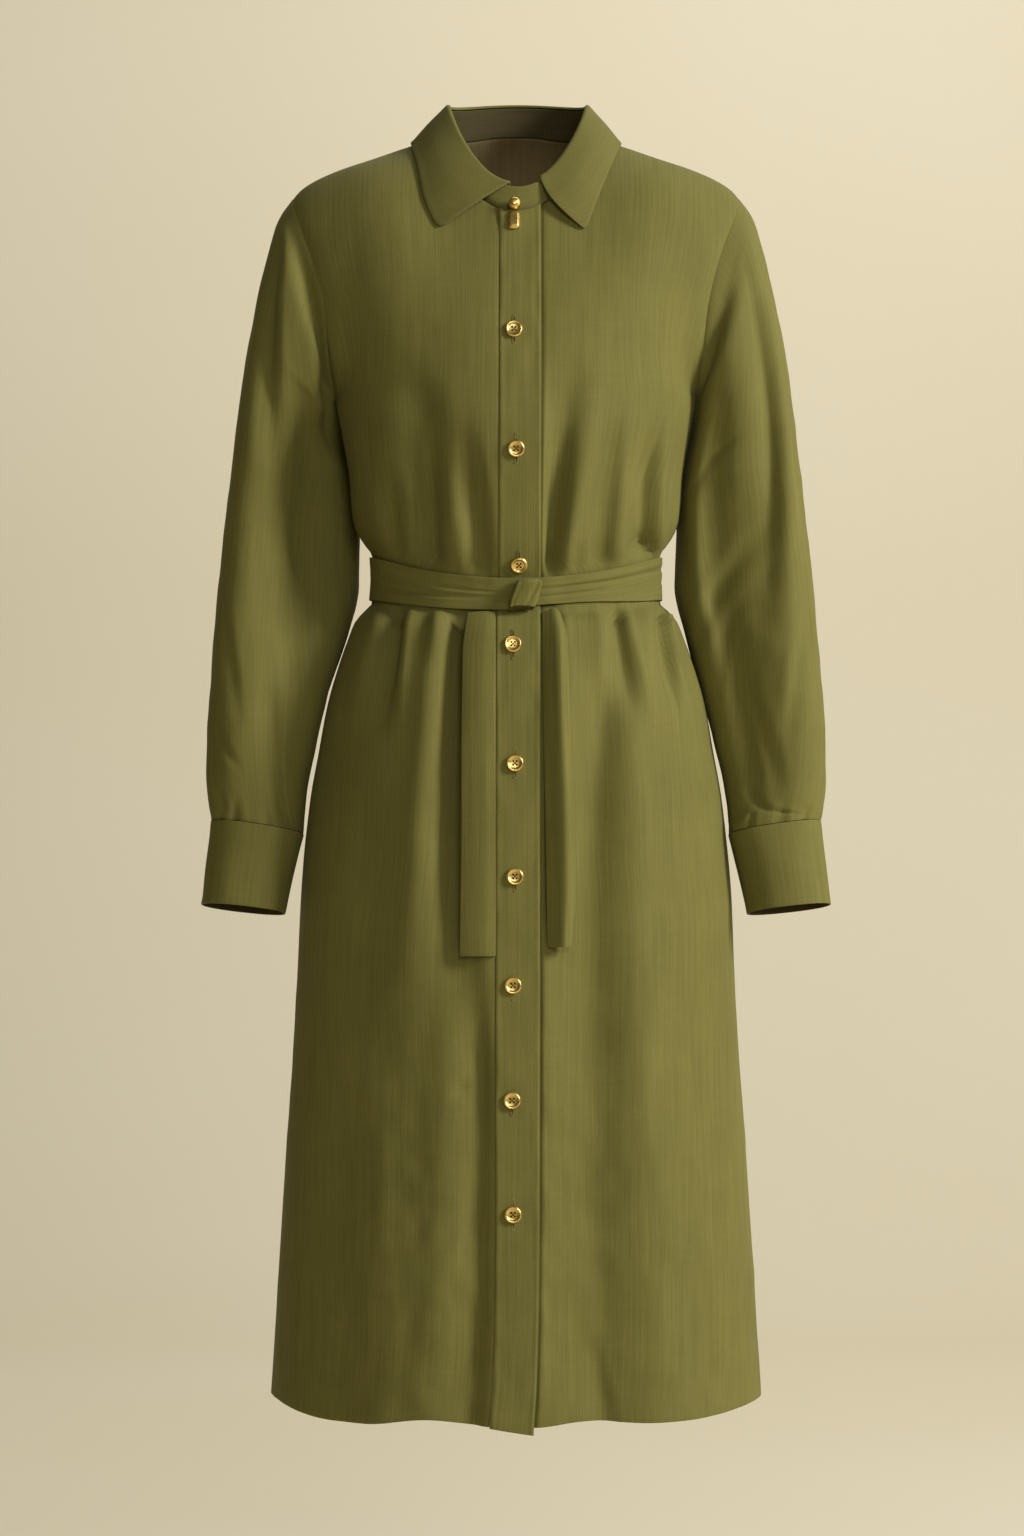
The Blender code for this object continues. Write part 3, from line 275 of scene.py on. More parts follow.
# %% Armhole's edge and inner faces
def armhole_edge(up, is_front):
    """The armhole's edge from the underarm (0) to the shoulder's tip (1), on the wearer's left."""
    angle = np.pi * up
    height = (UNDERARM + SHOULDER_TIP[2]) / 2 - (SHOULDER_TIP[2] - UNDERARM) / 2 * np.cos(angle)
    out = ARMHOLE_REACH[is_front] * np.sin(angle)
    return point(curve(ARMHOLE, "height", "across", height), SHOULDER_SEAM_DEPTH * up + out, height)


def upper(share, up, is_front):
    """The inner face above the underarm, drawn in to the armhole's edge at the side."""
    side = np.where(share < 0, -1.0, 1.0)
    share = np.abs(share)
    turn = 90 * np.minimum(share / NECK_SHARE, 1.0)
    out = np.clip((share - NECK_SHARE) / (1 - NECK_SHARE), 0.0, 1.0)
    on_shoulder = shoulder_share(mix(NECK_HALF_WIDTH, SHOULDER_TIP[0], out))
    at_neck = share <= NECK_SHARE
    end_share = np.where(at_neck, curve(NECK[is_front], "turn", "share", turn), on_shoulder)
    end_up = np.where(at_neck, curve(NECK[is_front], "turn", "up", turn), 1.0)
    narrowing = (1 - ARMHOLE_SHARE) * np.sin(np.pi * up)
    shell_share = mix(share, end_share, up) * (1 - narrowing * share**2)
    place = shell(side, shell_share, up * end_up, is_front)
    pull = smooth((share - ARMHOLE_PULL_FROM) / (1 - ARMHOLE_PULL_FROM)) ** ARMHOLE_PULL_POWER
    edge = armhole_edge(up, is_front) * point(side, 1, 1)
    return place + (edge - shell(side, 1 - narrowing, up, is_front)) * pull[..., None]


def body(share, level, is_front):
    """The inner face of the front or the back, with no creases."""
    share, level = np.broadcast_arrays(np.asarray(share, float), np.asarray(level, float))
    high = upper(share, np.clip(level, 0.0, 1.0), is_front)
    return np.where((level >= 0)[..., None], high, section(share, np.minimum(level, 0), is_front))


print("centre at the underarm:", body(0.0, UNDERARM, True).round(1))


# %% Away from the wearer
def outward(share, level, is_front):
    """The direction away from the wearer."""
    share, level = np.broadcast_arrays(np.asarray(share, float), np.asarray(level, float))
    step = np.where(level >= 0, LEVEL_STEP, 1.0)
    above = np.where(level >= 0, np.minimum(level + step, 1.0), level + step)
    below = np.where(level >= 0, np.maximum(level - step, 0.0), level - step)
    along = body(share, above, is_front) - body(share, below, is_front)
    left = np.minimum(share + SHARE_STEP, 1.0)
    right = np.maximum(share - SHARE_STEP, -1.0)
    across = body(left, level, is_front) - body(right, level, is_front)
    return unit(np.cross(across, along)) * (1 if is_front else -1)


def share_at(across, level):
    """The share on the front whose point lies at a distance from the centre."""
    across, level = np.broadcast_arrays(np.asarray(across, float), np.asarray(level, float))
    low = np.full(across.shape, -PLACKET_REACH)
    return search(lambda share: body(share, level, True)[..., 0] < across, low, low + 2 * PLACKET_REACH)


def front_place(across, height):
    """The shares and levels of places seen from the front."""
    across, height = np.broadcast_arrays(np.asarray(across, float), np.asarray(height, float))
    is_upper = height > UNDERARM
    level = search(
        lambda level: body(share_at(across, level), level, True)[..., 2] < height,
        np.where(is_upper, 0.0, height - 1),
        np.where(is_upper, 1.0, height + SAG_REACH),
    )
    return share_at(across, level), level


print("share and level 50 mm left of the centre:", front_place(50.0, -600.0))

# %% [markdown]
# ## Thin cloth
# Cloth is thinner than it looks: under a millimetre. Each panel is a grid bent into place, given
# its thickness by Solidify and a soft folded edge by Bevel. Its UV map is measured along the
# cloth itself, in metres, so that the weave keeps the same thread spacing on every piece.

# %% Grids that become cloth
SHELL = 0.9
DOUBLE_SHELL = 1.5
EDGE_ROUNDING = 0.3
EDGE_ANGLE = 55.0
WARP_STRAIGHTENING = 1.4
MERGE = 1e-6
SEED_STEP = (7.1, 3.3, 5.7)


def facing(points, middles):
    """Unit normals of a grid, pointing away from the middles that it goes round."""
    normals = unit(np.cross(np.gradient(points, axis=1), np.gradient(points, axis=0)))
    return normals if np.sum(normals * (points - middles)) > 0 else -normals


def round_axis(points):
    """Middles on the dress's own axis, one for each point."""
    return points * np.array((0.0, 0.0, 1.0))


def round_rows(points):
    """Middles of a tube's own rows."""
    return np.broadcast_to(points[:, :-1].mean(axis=1, keepdims=True), points.shape)


def thread_map(points, first_column=0, first_row=0):
    """Distances along the cloth, in metres: across from one column, and up from one row."""
    steps = np.linalg.norm(np.diff(points, axis=1), axis=-1)
    across = np.concatenate((np.zeros((len(points), 1)), np.cumsum(steps, axis=1)), axis=1)
    across = across - across[:, first_column : first_column + 1]
    drops = np.linalg.norm(np.diff(points, axis=0), axis=-1)
    down = np.concatenate((np.zeros((1, points.shape[1])), np.cumsum(drops, axis=0)), axis=0)
    return across * MM, (down[first_row] - down) * MM


def straighten(across, points):
    """Above the underarm the warp runs straight up, so it is measured level from the centre."""
    up = smooth(WARP_STRAIGHTENING * LEVELS)[:, None]
    start = np.argmin(np.abs(across[0]))
    level = (points[..., 0] - points[:, start : start + 1, 0]) * MM
    level = level * np.sign(np.sum(level * across))
    upper = mix(np.broadcast_to(across[UPPER_ROWS], across.shape), level, up)
    return np.where((LEVELS > 0)[:, None], upper, across)


# %% Meshes and objects
def lay(bm, points, threads):
    """Moves the vertices to their points, and writes their places on the threads as a UV map."""
    for vert, place in zip(bm.verts, points.reshape(-1, 3) * MM):
        vert.co = place
    bm.verts.index_update()
    layer = bm.loops.layers.uv.new("threads")
    for face in bm.faces:
        for loop in face.loops:
            loop[layer].uv = threads[loop.vert.index]


def mesh_from(name, bm, sharp_from=None):
    """A bmesh as a smooth mesh, with sharp edges from an angle in degrees if one is given."""
    mesh = bpy.data.meshes.new(name)
    bm.to_mesh(mesh)
    bm.free()
    mesh.shade_smooth()
    if sharp_from is not None:
        mesh.set_sharp_from_angle(angle=math.radians(sharp_from))
    return mesh


def link(name, mesh, material):
    thing = bpy.data.objects.new(name, mesh)
    bpy.context.scene.collection.objects.link(thing)
    mesh.materials.append(material)
    return thing


def worn(thing):
    """A piece of the dress: it moves with the one body."""
    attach(thing, "root")
    return thing


# %% A grid becomes cloth
def cloth(name, points, middles, material, shell_wall=SHELL, first_column=0, turned=False, is_panel=False):
    """A grid of outer points as a piece of cloth. turned runs the threads along the rows."""
    rows, columns = points.shape[:2]
    bm = bmesh.new()
    bmesh.ops.create_grid(bm, x_segments=columns - 1, y_segments=rows - 1, size=1)
    across, down = thread_map(points, first_column, UPPER_ROWS if is_panel else 0)
    if is_panel:
        across = straighten(across, points)
    if turned:
        across, down = down, across
    lay(bm, points, np.column_stack((across.ravel(), down.ravel())))
    out = facing(points, middles)[rows // 2, columns // 2]
    bm.normal_update()
    bm.faces.ensure_lookup_table()
    near = bm.faces[(rows // 2) * (columns - 1) + columns // 2 - 1]
    if np.dot(near.normal, out) < 0:
        bmesh.ops.reverse_faces(bm, faces=bm.faces)
    bmesh.ops.remove_doubles(bm, verts=bm.verts, dist=MERGE)
    thing = link(name, mesh_from(name, bm), material)
    wall = thing.modifiers.new("wall", "SOLIDIFY")
    wall.thickness = shell_wall * MM
    wall.offset = -1.0
    wall.use_even_offset = True
    wall.material_offset = 1
    # The inner faces take a copy of the cloth with light painted in: paler on the panels, as painted light,
    # and darker and browner on the other pieces, as painted shade.
    thing.data.materials.append(PANEL_REVERSE_PAINTED_LIGHT if is_panel else COTTON_REVERSE_PAINTED_SHADE)
    edge = thing.modifiers.new("folded edge", "BEVEL")
    edge.width = EDGE_ROUNDING * MM
    edge.segments = 2
    edge.limit_method = "ANGLE"
    edge.angle_limit = math.radians(EDGE_ANGLE)
    return worn(thing)


print("single and doubled cloth, mm:", SHELL, DOUBLE_SHELL)


# %% Unevenness of cloth
def ripple(points, size, seed):
    """Gentle unevenness of cloth, from -1 to 1, with hollows about size millimetres across."""
    shift = Vector([seed * step for step in SEED_STEP])
    flat = points.reshape(-1, 3) / size
    found = [noise.noise(Vector(place) + shift) for place in flat]
    return np.array(found).reshape(points.shape[:-1])


print("a ripple at one place:", ripple(np.array((10.0, 20.0, 30.0)), 26.0, 1))

# %% [markdown]
# ## Creases
# Cloth that a belt gathers falls in troughs that are deepest at the belt and die out away from it.
# Each crease is a row: three places that its centre runs through, how wide it is at each end, how
# deep it is, and how slowly it fades. lean makes one flank steeper, as a fold that tips over has.

# %% Creases of the fronts
Crease = namedtuple(
    "Crease", "x_top top x_mid mid x_low low width_top width_low depth fade_top fade_low lean"
)
FRONT_CREASES = rows_of(
    Crease,
    (-92, -190, -78, -275, -74, -396, 17, 14, 12.5, 120, 8, 0.2),
    (-64, -215, -44, -300, -22, -396, 14, 13, 7, 100, 8, 0.1),
    (-113, -280, -109, -330, -106, -396, 8, 9, 7, 60, 8, 0),
    (-58, -330, -54, -350, -52, -396, 6, 7, 2.5, 30, 8, 0),
    (-130, -320, -126, -345, -122, -396, 7, 9, 3, 40, 8, 0.2),
    (-38, -320, -37, -350, -37, -396, 5, 6, 2.2, 40, 8, 0),
    (53, -175, 37, -300, 25, -396, 15, 10, 12, 150, 8, 0.2),
    (89, -215, 83, -300, 74, -396, 12, 11, 6.5, 110, 8, 0.35),
    (126, -235, 118, -310, 115, -396, 10, 10, 13, 80, 8, 0.5),
    (104, -320, 101, -345, 98, -396, 7, 8, 3, 50, 8, 0.2),
    (56, -345, 53, -365, 50, -396, 5, 6, 2, 25, 8, 0),
    (118, -350, 108, -362, 96, -372, 4, 5, 2, 8, 6, 0),
    (-101, -398, -108, -450, -121, -540, 6, 12, 12, 8, 80, 0.3),
    (-76, -398, -79, -430, -82, -480, 5, 8, 2.5, 8, 50, 0),
    (-43, -398, -50, -560, -51, -790, 12, 22, 18, 8, 190, 0),
    (75, -398, 75, -410, 76, -430, 3, 4, 4.5, 6, 18, 0),
    (85, -398, 92, -440, 105, -535, 5, 12, 9.5, 16, 80, 0.25),
    (82, -450, 67, -620, 63, -860, 14, 29, 11, 70, 150, 0.1),
    (128, -398, 134, -441, 145, -530, 4.5, 9, 11, 8, 80, 0.5),
    (31, -398, 33, -560, 33, -745, 9, 13, 8, 8, 120, 0.4),
    (-36, -715, -27, -880, -36, -1150, 12, 19, 8, 120, 1, 0.2),
    (72, -700, 67, -930, 76, -1150, 24, 34, 12, 150, 1, 0.1),
    (-150, -810, -152, -960, -156, -1150, 17, 20, 4, 120, 1, 0),
    (64, -1040, 72, -1080, 84, -1150, 6, 9, 2.5, 40, 1, 0.2),
    (-44, -826, -50, -838, -62, -842, 4, 5, 3.4, 6, 8, 0),
    (-120, -560, -128, -680, -138, -820, 16, 22, 3.5, 100, 100, 0),
)
print("creases in the fronts:", len(FRONT_CREASES))

# %% Creases of the back
BACK_CREASES = rows_of(
    Crease,
    (-106, -255, -96, -315, -92, -396, 8, 11, 9, 60, 8, 0.3),
    (-64, -215, -52, -300, -48, -396, 9, 12, 10, 90, 8, 0.2),
    (-14, -250, -16, -320, -18, -396, 8, 10, 7, 70, 8, -0.2),
    (24, -230, 26, -310, 28, -396, 8, 12, 9, 80, 8, 0.3),
    (72, -210, 62, -300, 60, -396, 9, 12, 10, 90, 8, -0.3),
    (112, -270, 103, -330, 98, -396, 8, 10, 8, 60, 8, 0.2),
    (-126, -398, -132, -440, -142, -520, 6, 11, 8, 8, 80, 0),
    (-84, -398, -92, -520, -106, -760, 8, 14, 11, 8, 200, 0.3),
    (-44, -398, -46, -440, -51, -540, 6, 11, 8, 8, 80, 0.2),
    (-2, -398, 0, -600, 4, -900, 9, 17, 13, 8, 260, -0.2),
    (42, -398, 46, -450, 53, -560, 6, 11, 8, 8, 90, 0),
    (82, -398, 92, -540, 104, -800, 8, 15, 12, 8, 220, 0.3),
    (124, -398, 130, -440, 140, -510, 6, 11, 8, 8, 80, -0.2),
    (-60, -680, -66, -880, -74, -1150, 17, 23, 8.5, 140, 1, 0.2),
    (60, -740, 56, -920, 62, -1150, 17, 23, 8.5, 140, 1, -0.2),
    (-140, -790, -146, -940, -152, -1150, 16, 20, 6.5, 120, 1, 0),
    (142, -740, 148, -920, 152, -1150, 16, 20, 6.5, 120, 1, 0),
)
print("creases in the back:", len(BACK_CREASES))

# %% Across and along a crease
RIDGE_AT = 2.0
RIDGE_WIDTH = 0.75
RIDGE_HEIGHT = 0.22


def trough(distance, width, lean):
    """Across a crease: 1 at its centre, falling away, with a low ridge of pushed cloth beside it."""
    flank = width * (1 - lean * np.sign(distance))
    away = distance / flank
    ridges = bell((np.abs(away) - RIDGE_AT) / RIDGE_WIDTH)
    return bell(away) - RIDGE_HEIGHT * ridges


def crease_depth(creases, points):
    """How far the creases push the cloth in, at each point."""
    across, height = points[..., 0], points[..., 2]
    depth = np.zeros(across.shape)
    for crease in creases:
        keys = (crease.top, crease.mid, crease.low)
        centre = through(keys, (crease.x_top, crease.x_mid, crease.x_low), height)
        down = np.clip((crease.top - height) / (crease.top - crease.low), 0.0, 1.0)
        width = mix(crease.width_top, crease.width_low, down)
        strength = smooth((crease.top - height) / crease.fade_top)
        strength = strength * smooth((height - crease.low) / crease.fade_low)
        depth += crease.depth * strength * trough(across - centre, width, crease.lean)
    return depth


print("a crease at its centre:", trough(np.array(0.0), 1.0, 0.0))

# %% [markdown]
# ## Olive cotton and linen
# The cloth is a plain weave of cotton and linen, dyed olive. Linen thread is uneven: thicker
# stretches, called slubs, make fine streaks along the warp. Cotton gives it a soft bloom at
# grazing angles, which is what the shader's sheen is for. The threads are about half a millimetre
# apart. That is too fine to show from where a dress is seen whole, so the weave is drawn about
# three times as coarse.

# %% Colours and nodes
def linear(code):
    """An sRGB hex colour as the linear values that a shader works in."""
    parts = [int(code[i : i + 2], 16) / 255 for i in (1, 3, 5)]
    values = [part / 12.92 if part <= 0.04045 else ((part + 0.055) / 1.055) ** 2.4 for part in parts]
    return (*values, 1.0)


def add(tree, kind, settings=None, **links):
    """Adds one node. settings fill its properties or sockets, and links join sockets to it."""
    node = tree.nodes.new(kind)
    for name, value in (settings or {}).items():
        if name in node.inputs:
            node.inputs[name].default_value = value
        else:
            setattr(node, name, value)
    for name, source in links.items():
        socket = node.inputs[int(name[1:])] if name[1:].isdigit() else node.inputs[name.replace("_", " ")]
        tree.links.new(source, socket)
    return node


def new_material(name, settings):
    """A material, its nodes, and its shader with some of its sockets set."""
    material = bpy.data.materials.new(name)
    material.use_nodes = True
    shader = material.node_tree.nodes["Principled BSDF"]
    for socket, value in settings.items():
        shader.inputs[socket].default_value = value
    return material, material.node_tree, shader


def patches(tree, scale):
    """Soft patches, about as many to a metre as the scale says."""
    spot = add(tree, "ShaderNodeTexCoord").outputs["Object"]
    return add(tree, "ShaderNodeTexNoise", {"Scale": scale, "Detail": 2.0}, Vector=spot).outputs["Fac"]


def colour_between(tree, shader, deep, pale, factor):
    """Colours the shader from deep, where the factor is 0, to pale, where it is 1."""
    tone = add(tree, "ShaderNodeMix", {"data_type": "RGBA"}, Factor=factor)
    tone.inputs[6].default_value = linear(deep)
    tone.inputs[7].default_value = linear(pale)
    tree.links.new(tone.outputs[2], shader.inputs["Base Color"])


print("mid grey in a shader:", linear("#808080")[0])

# %% Woven cotton and linen
OLIVE = "#7b753a"
OLIVE_DEEP = "#66612d"
OLIVE_BLOOM = "#b9b184"
THREAD_PITCH = 1.5
SLUB_WIDTH = 2.2
SLUB_LENGTH = 110.0
CLOUD_SIZE = 70.0
WEFT_SHARE = 0.25
CLOUD_SHARE = 0.7
WEAVE_SHARE = 0.4
WEAVE_RELIEF = 0.0003
TONE_RANGE = {"From Min": 0.64, "From Max": 1.32}
COTTON_SHADER = {
    "Roughness": 0.82,
    "Specular IOR Level": 0.25,
    "Sheen Weight": 0.14,
    "Sheen Roughness": 0.45,
    "Sheen Tint": linear(OLIVE_BLOOM),
}
# A wave texture of scale 1 has this many waves on a length of tau.
WAVES_ROUND = 20
WEAVE_WAVE = {
    "wave_type": "BANDS",
    "Scale": math.tau / WAVES_ROUND * 1000 / THREAD_PITCH,
    "Distortion": 0.6,
    "Detail": 1.0,
    "Detail Scale": 2.0,
}


def woven_cotton(name, pale=OLIVE, deep=OLIVE_DEEP, bump=0.5):
    """Plain weave: warp and weft ridges, slubs along both, and slow clouds of dye."""
    material, tree, shader = new_material(name, COTTON_SHADER)
    threads = add(tree, "ShaderNodeUVMap", {"uv_map": "threads"}).outputs["UV"]

    def streaks(width, length, seed):
        size = {"Scale": (1000 / width, 1000 / length, 1.0), "Location": (seed, seed * 2.3, 0)}
        place = add(tree, "ShaderNodeMapping", size, Vector=threads).outputs["Vector"]
        grain = {"Scale": 1.0, "Detail": 3.0, "Roughness": 0.6}
        return add(tree, "ShaderNodeTexNoise", grain, Vector=place).outputs["Fac"]

    def with_share(source, share, other):
        total = add(tree, "ShaderNodeMath", {"operation": "MULTIPLY_ADD"}, _0=source, _2=other)
        total.inputs[1].default_value = share
        return total.outputs[0]

    warp = streaks(SLUB_WIDTH, SLUB_LENGTH, 3.1)
    weft = streaks(SLUB_LENGTH / 2, SLUB_WIDTH * 0.8, 8.7)
    cloud = streaks(CLOUD_SIZE, CLOUD_SIZE * 1.6, 5.2)
    ridges = {}
    for input_name, way in (("_0", "X"), ("_1", "Y")):
        wave = {**WEAVE_WAVE, "bands_direction": way}
        ridges[input_name] = add(tree, "ShaderNodeTexWave", wave, Vector=threads).outputs["Fac"]
    weave = add(tree, "ShaderNodeMath", {"operation": "MULTIPLY"}, **ridges).outputs[0]
    slubs = with_share(weft, WEFT_SHARE, warp)
    dye = with_share(cloud, CLOUD_SHARE, slubs)
    tone = add(tree, "ShaderNodeMapRange", TONE_RANGE, Value=dye).outputs[0]
    colour_between(tree, shader, deep, pale, tone)
    height = with_share(weave, WEAVE_SHARE, slubs)
    relief = add(tree, "ShaderNodeBump", {"Strength": bump, "Distance": WEAVE_RELIEF}, Height=height)
    tree.links.new(relief.outputs["Normal"], shader.inputs["Normal"])
    return material


# %% The dress's cloths
COTTON = woven_cotton("olive_cotton_linen_plain_weave")
# The reverse side is the same cloth painted darker and browner: painted shade on the inner faces of every
# piece but the panels.
COTTON_REVERSE_PAINTED_SHADE = woven_cotton("olive_cotton_linen_reverse_side_painted_shade", "#4d4226", "#3d3519")
# The collar and stand have a smoother weave, and their colour is the same cloth painted a shade darker:
# painted shade.
INTERLINED_PAINTED_SHADE = woven_cotton("olive_cotton_linen_interlined_painted_shade", "#726c35", "#68632f", 0.35)
# The panels' reverse side is the same cloth painted much paler: painted light on the inner faces of the
# back and fronts.
PANEL_REVERSE_PAINTED_LIGHT = woven_cotton("olive_cotton_linen_panel_reverse_painted_light", "#9a8658", "#85714a")
print("cloth materials:", COTTON.name, COTTON_REVERSE_PAINTED_SHADE.name, PANEL_REVERSE_PAINTED_LIGHT.name)

# %% [markdown]
# ## Back and fronts
# The back is one panel from the shoulders to the hem. Each front runs from the placket to the
# side seam, and the wearer's left one goes on under the placket. They are cut wide and gathered by
# the belt, so the creases are strongest there, and the waist blouses over the belt's upper edge.

# %% Rows and columns of the panels
ROW_STEP = 5.4
UPPER_ROWS = 46
FRONT_COLUMNS = 64
BACK_COLUMNS = 124
SIDE_FLAT = 0.1
CRUMPLE = 0.95
CRUMPLE_FROM = -700.0
CRUMPLE_FADE = 260.0
FRONT_EDGE_FLAT = 14.0
FRONT_UNDER_FLAT = 7.0
PlacketEdge = namedtuple("PlacketEdge", "level left right")
PLACKET_EDGES = rows_of(
    PlacketEdge,
    (0, -14.5, 21.6), (-365, -14.8, 21.4), (-424, -17, 21), (-1000, -18, 19.5),
    (-1080, -19.5, 17.5), (-1118, -23, 15),
)
PLACKET_OUT = WALL + LAYER_GAP + 0.6
FRONT_LIFT = WALL + LAYER_GAP
FRONT_LIFT_FADE = 70.0
BUTTON_STAND_EDGE = -12.0
EDGE_COLUMNS = np.array((-20, -8, -4, -2.4, -1.2, 0, 0.8, 1.6, 2.4, 3.2, 4.2, 5.5, 7.5, 10.0))
EDGE_GROOVE = 1.4
EDGE_GROOVE_WIDTH = 2.3
SEAM_GAP = 0.3
WAVE_DEPTH = 1.3
WAVE_SIZE = 75.0
CRUMPLE_LEAST = 0.35
CRUMPLE_SIZE = 26.0
CRUMPLE_STRETCH = (1.4, 1.0, 1.0)
CALM_FROM = 0.35
CALM_FADE = 0.3
SHOULDER_CALM = 3.0
PRESSED_LOW = -416.0
PRESSED_LOW_FADE = 8.0
PRESSED_HIGH = -356.0
PRESSED_HIGH_FADE = 9.0
PRESSED_SHARE = 0.92

upper_levels = 1 - np.arange(UPPER_ROWS) / UPPER_ROWS
lower_rows = int((UNDERARM - HEM) / ROW_STEP)
LEVELS = np.concatenate((upper_levels, [0.0], np.linspace(UNDERARM, HEM, lower_rows + 1)[1:]))
print("rows from the shoulders to the hem:", len(LEVELS))


# %% A panel with its creases
def crease_share(level):
    """How much of a crease shows at a level: none on the shoulders, and little under the belt."""
    above = np.where(level >= 0, 1 - smooth(SHOULDER_CALM * level), 1.0)
    from_low = smooth((level - PRESSED_LOW) / PRESSED_LOW_FADE)
    from_high = smooth((PRESSED_HIGH - level) / PRESSED_HIGH_FADE)
    return above * (1 - PRESSED_SHARE * (from_low * from_high))


def panel(shares, creases, is_front, seed, out=WALL, edge_flat=1.0):
    """Outer points of a panel whose shares are given for each level."""
    levels = np.broadcast_to(LEVELS[:, None], shares.shape)
    base = body(shares, levels, is_front)
    away = outward(shares, levels, is_front)
    flat = smooth((1 - np.abs(shares)) / SIDE_FLAT) * edge_flat
    calm = (1 - smooth((levels - CALM_FROM) / CALM_FADE)) * crease_share(np.minimum(levels, 0))
    crumple = CRUMPLE_LEAST + CRUMPLE * smooth((CRUMPLE_FROM - levels) / CRUMPLE_FADE)
    uneven = WAVE_DEPTH * ripple(base, WAVE_SIZE, seed)
    uneven = uneven + crumple * ripple(base * CRUMPLE_STRETCH, CRUMPLE_SIZE, seed + 1)
    depth = crease_depth(creases, base) * crease_share(levels) + uneven * calm
    return base + away * (out - depth * flat)[..., None]


HemPlace = namedtuple("HemPlace", "across front back")
HEM_PLACES = rows_of(
    HemPlace,
    (-213, 2.5, 2.5), (-165, -4, -1.5), (-133, -3, -3), (-74, 4.4, 2), (-27, 0, 2.5), (15, -1, -2),
    (60, 2.4, -3), (115, -1, 2.6), (156, -1.6, 0.5), (213, 1.6, 1.6),
)
HEM_WAVE_FROM = -1045.0
HEM_WAVE_FADE = 70.0


def wavy_hem(points, is_front=True):
    """A hem that hangs unevenly, as cloth does where a fold takes some of its length."""
    by = curve(HEM_PLACES, "across", "front" if is_front else "back", points[..., 0])
    by = by * smooth((HEM_WAVE_FROM - points[..., 2]) / HEM_WAVE_FADE)
    return points + by[..., None] * point(0, 0, 1)


print("places on the hem:", len(HEM_PLACES))

# %% The back
SIDE_ALLOWANCE = 5.0
SIDE_SINK = 1.5
SIDE_STEP = 0.05
ALLOWANCE_FADE = 14.0


def with_allowance(points):
    """Adds the side seams' allowances, which lie inside the fronts from the underarm down."""
    share = smooth((UNDERARM - LEVELS) / ALLOWANCE_FADE)[:, None] * (LEVELS < 0)[:, None]
    strips = []
    for column, side in ((0, -1), (-1, 1)):
        edge = points[:, column]
        step = edge - point(side * SIDE_SINK, SIDE_STEP, 0) * share
        tip = step - point(0, SIDE_ALLOWANCE, 0) * share
        strips.append([step[:, None], tip[:, None]])
    (left_step, left_tip), (right_step, right_tip) = strips
    return np.concatenate((left_tip, left_step, points, right_step, right_tip), axis=1)


back_shares = np.broadcast_to(np.linspace(-1, 1, BACK_COLUMNS + 1), (len(LEVELS), BACK_COLUMNS + 1))
back_points = wavy_hem(panel(back_shares, BACK_CREASES, False, 1), False) + (0, SEAM_SHIFT, 0)
back_points = with_allowance(back_points)
middle_column = back_points.shape[1] // 2
back = cloth(
    "back_cloth", back_points, round_axis(back_points), COTTON, first_column=middle_column, is_panel=True
)
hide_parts("back")


# %% The two fronts
def placket_edge(name, level):
    return curve(PLACKET_EDGES, "level", name, np.minimum(level, 0.0))


def spread_from(edge_share):
    """Shares of a front's columns, evenly spaced from its centre edge to the side seam."""
    steps = np.linspace(0, 1, FRONT_COLUMNS + 1)
    return mix(edge_share[:, None], 1.0, steps)


seam_x = placket_edge("left", LEVELS) - SEAM_GAP
right_shares = -spread_from(-share_at(seam_x, LEVELS))
from_seam = seam_x[:, None] - body(right_shares, LEVELS[:, None], True)[..., 0]
lift = FRONT_LIFT * (1 - smooth(from_seam / FRONT_LIFT_FADE))
edge_flat = smooth(from_seam / FRONT_EDGE_FLAT)
right_points = panel(right_shares, FRONT_CREASES, True, 3, WALL + lift, edge_flat)
right_points = wavy_hem(right_points - (0, SEAM_SHIFT, 0))
front_right = cloth("front_right_cloth", right_points, round_axis(right_points), COTTON, is_panel=True)
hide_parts("front_right")

edge_x = placket_edge("right", LEVELS)[:, None]
near_x = np.concatenate((np.full_like(edge_x, BUTTON_STAND_EDGE), edge_x + EDGE_COLUMNS), axis=1)
near_shares = share_at(near_x, LEVELS[:, None])
left_shares = np.concatenate((near_shares[:, :-1], spread_from(near_shares[:, -1])), axis=1)
from_edge = body(left_shares, LEVELS[:, None], True)[..., 0] - edge_x
groove = EDGE_GROOVE * bell(from_edge / EDGE_GROOVE_WIDTH)
edge_flat = smooth((from_edge - 1) / FRONT_UNDER_FLAT)
left_points = panel(left_shares, FRONT_CREASES, True, 5, WALL - groove, edge_flat)
left_points = wavy_hem(left_points - (0, SEAM_SHIFT, 0))
front_left = cloth("front_left_cloth", left_points, round_axis(left_points), COTTON, is_panel=True)
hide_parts("front_left")
print("front columns:", FRONT_COLUMNS, "back columns:", BACK_COLUMNS)

# %% [markdown]
# ## Front placket
# The placket is a band of doubled cloth that carries the buttonholes. It lies on both fronts and
# ends a little below them. Its edges are pressed flat, and the cloth between the buttons rises
# and dips a little, because each button holds it down.

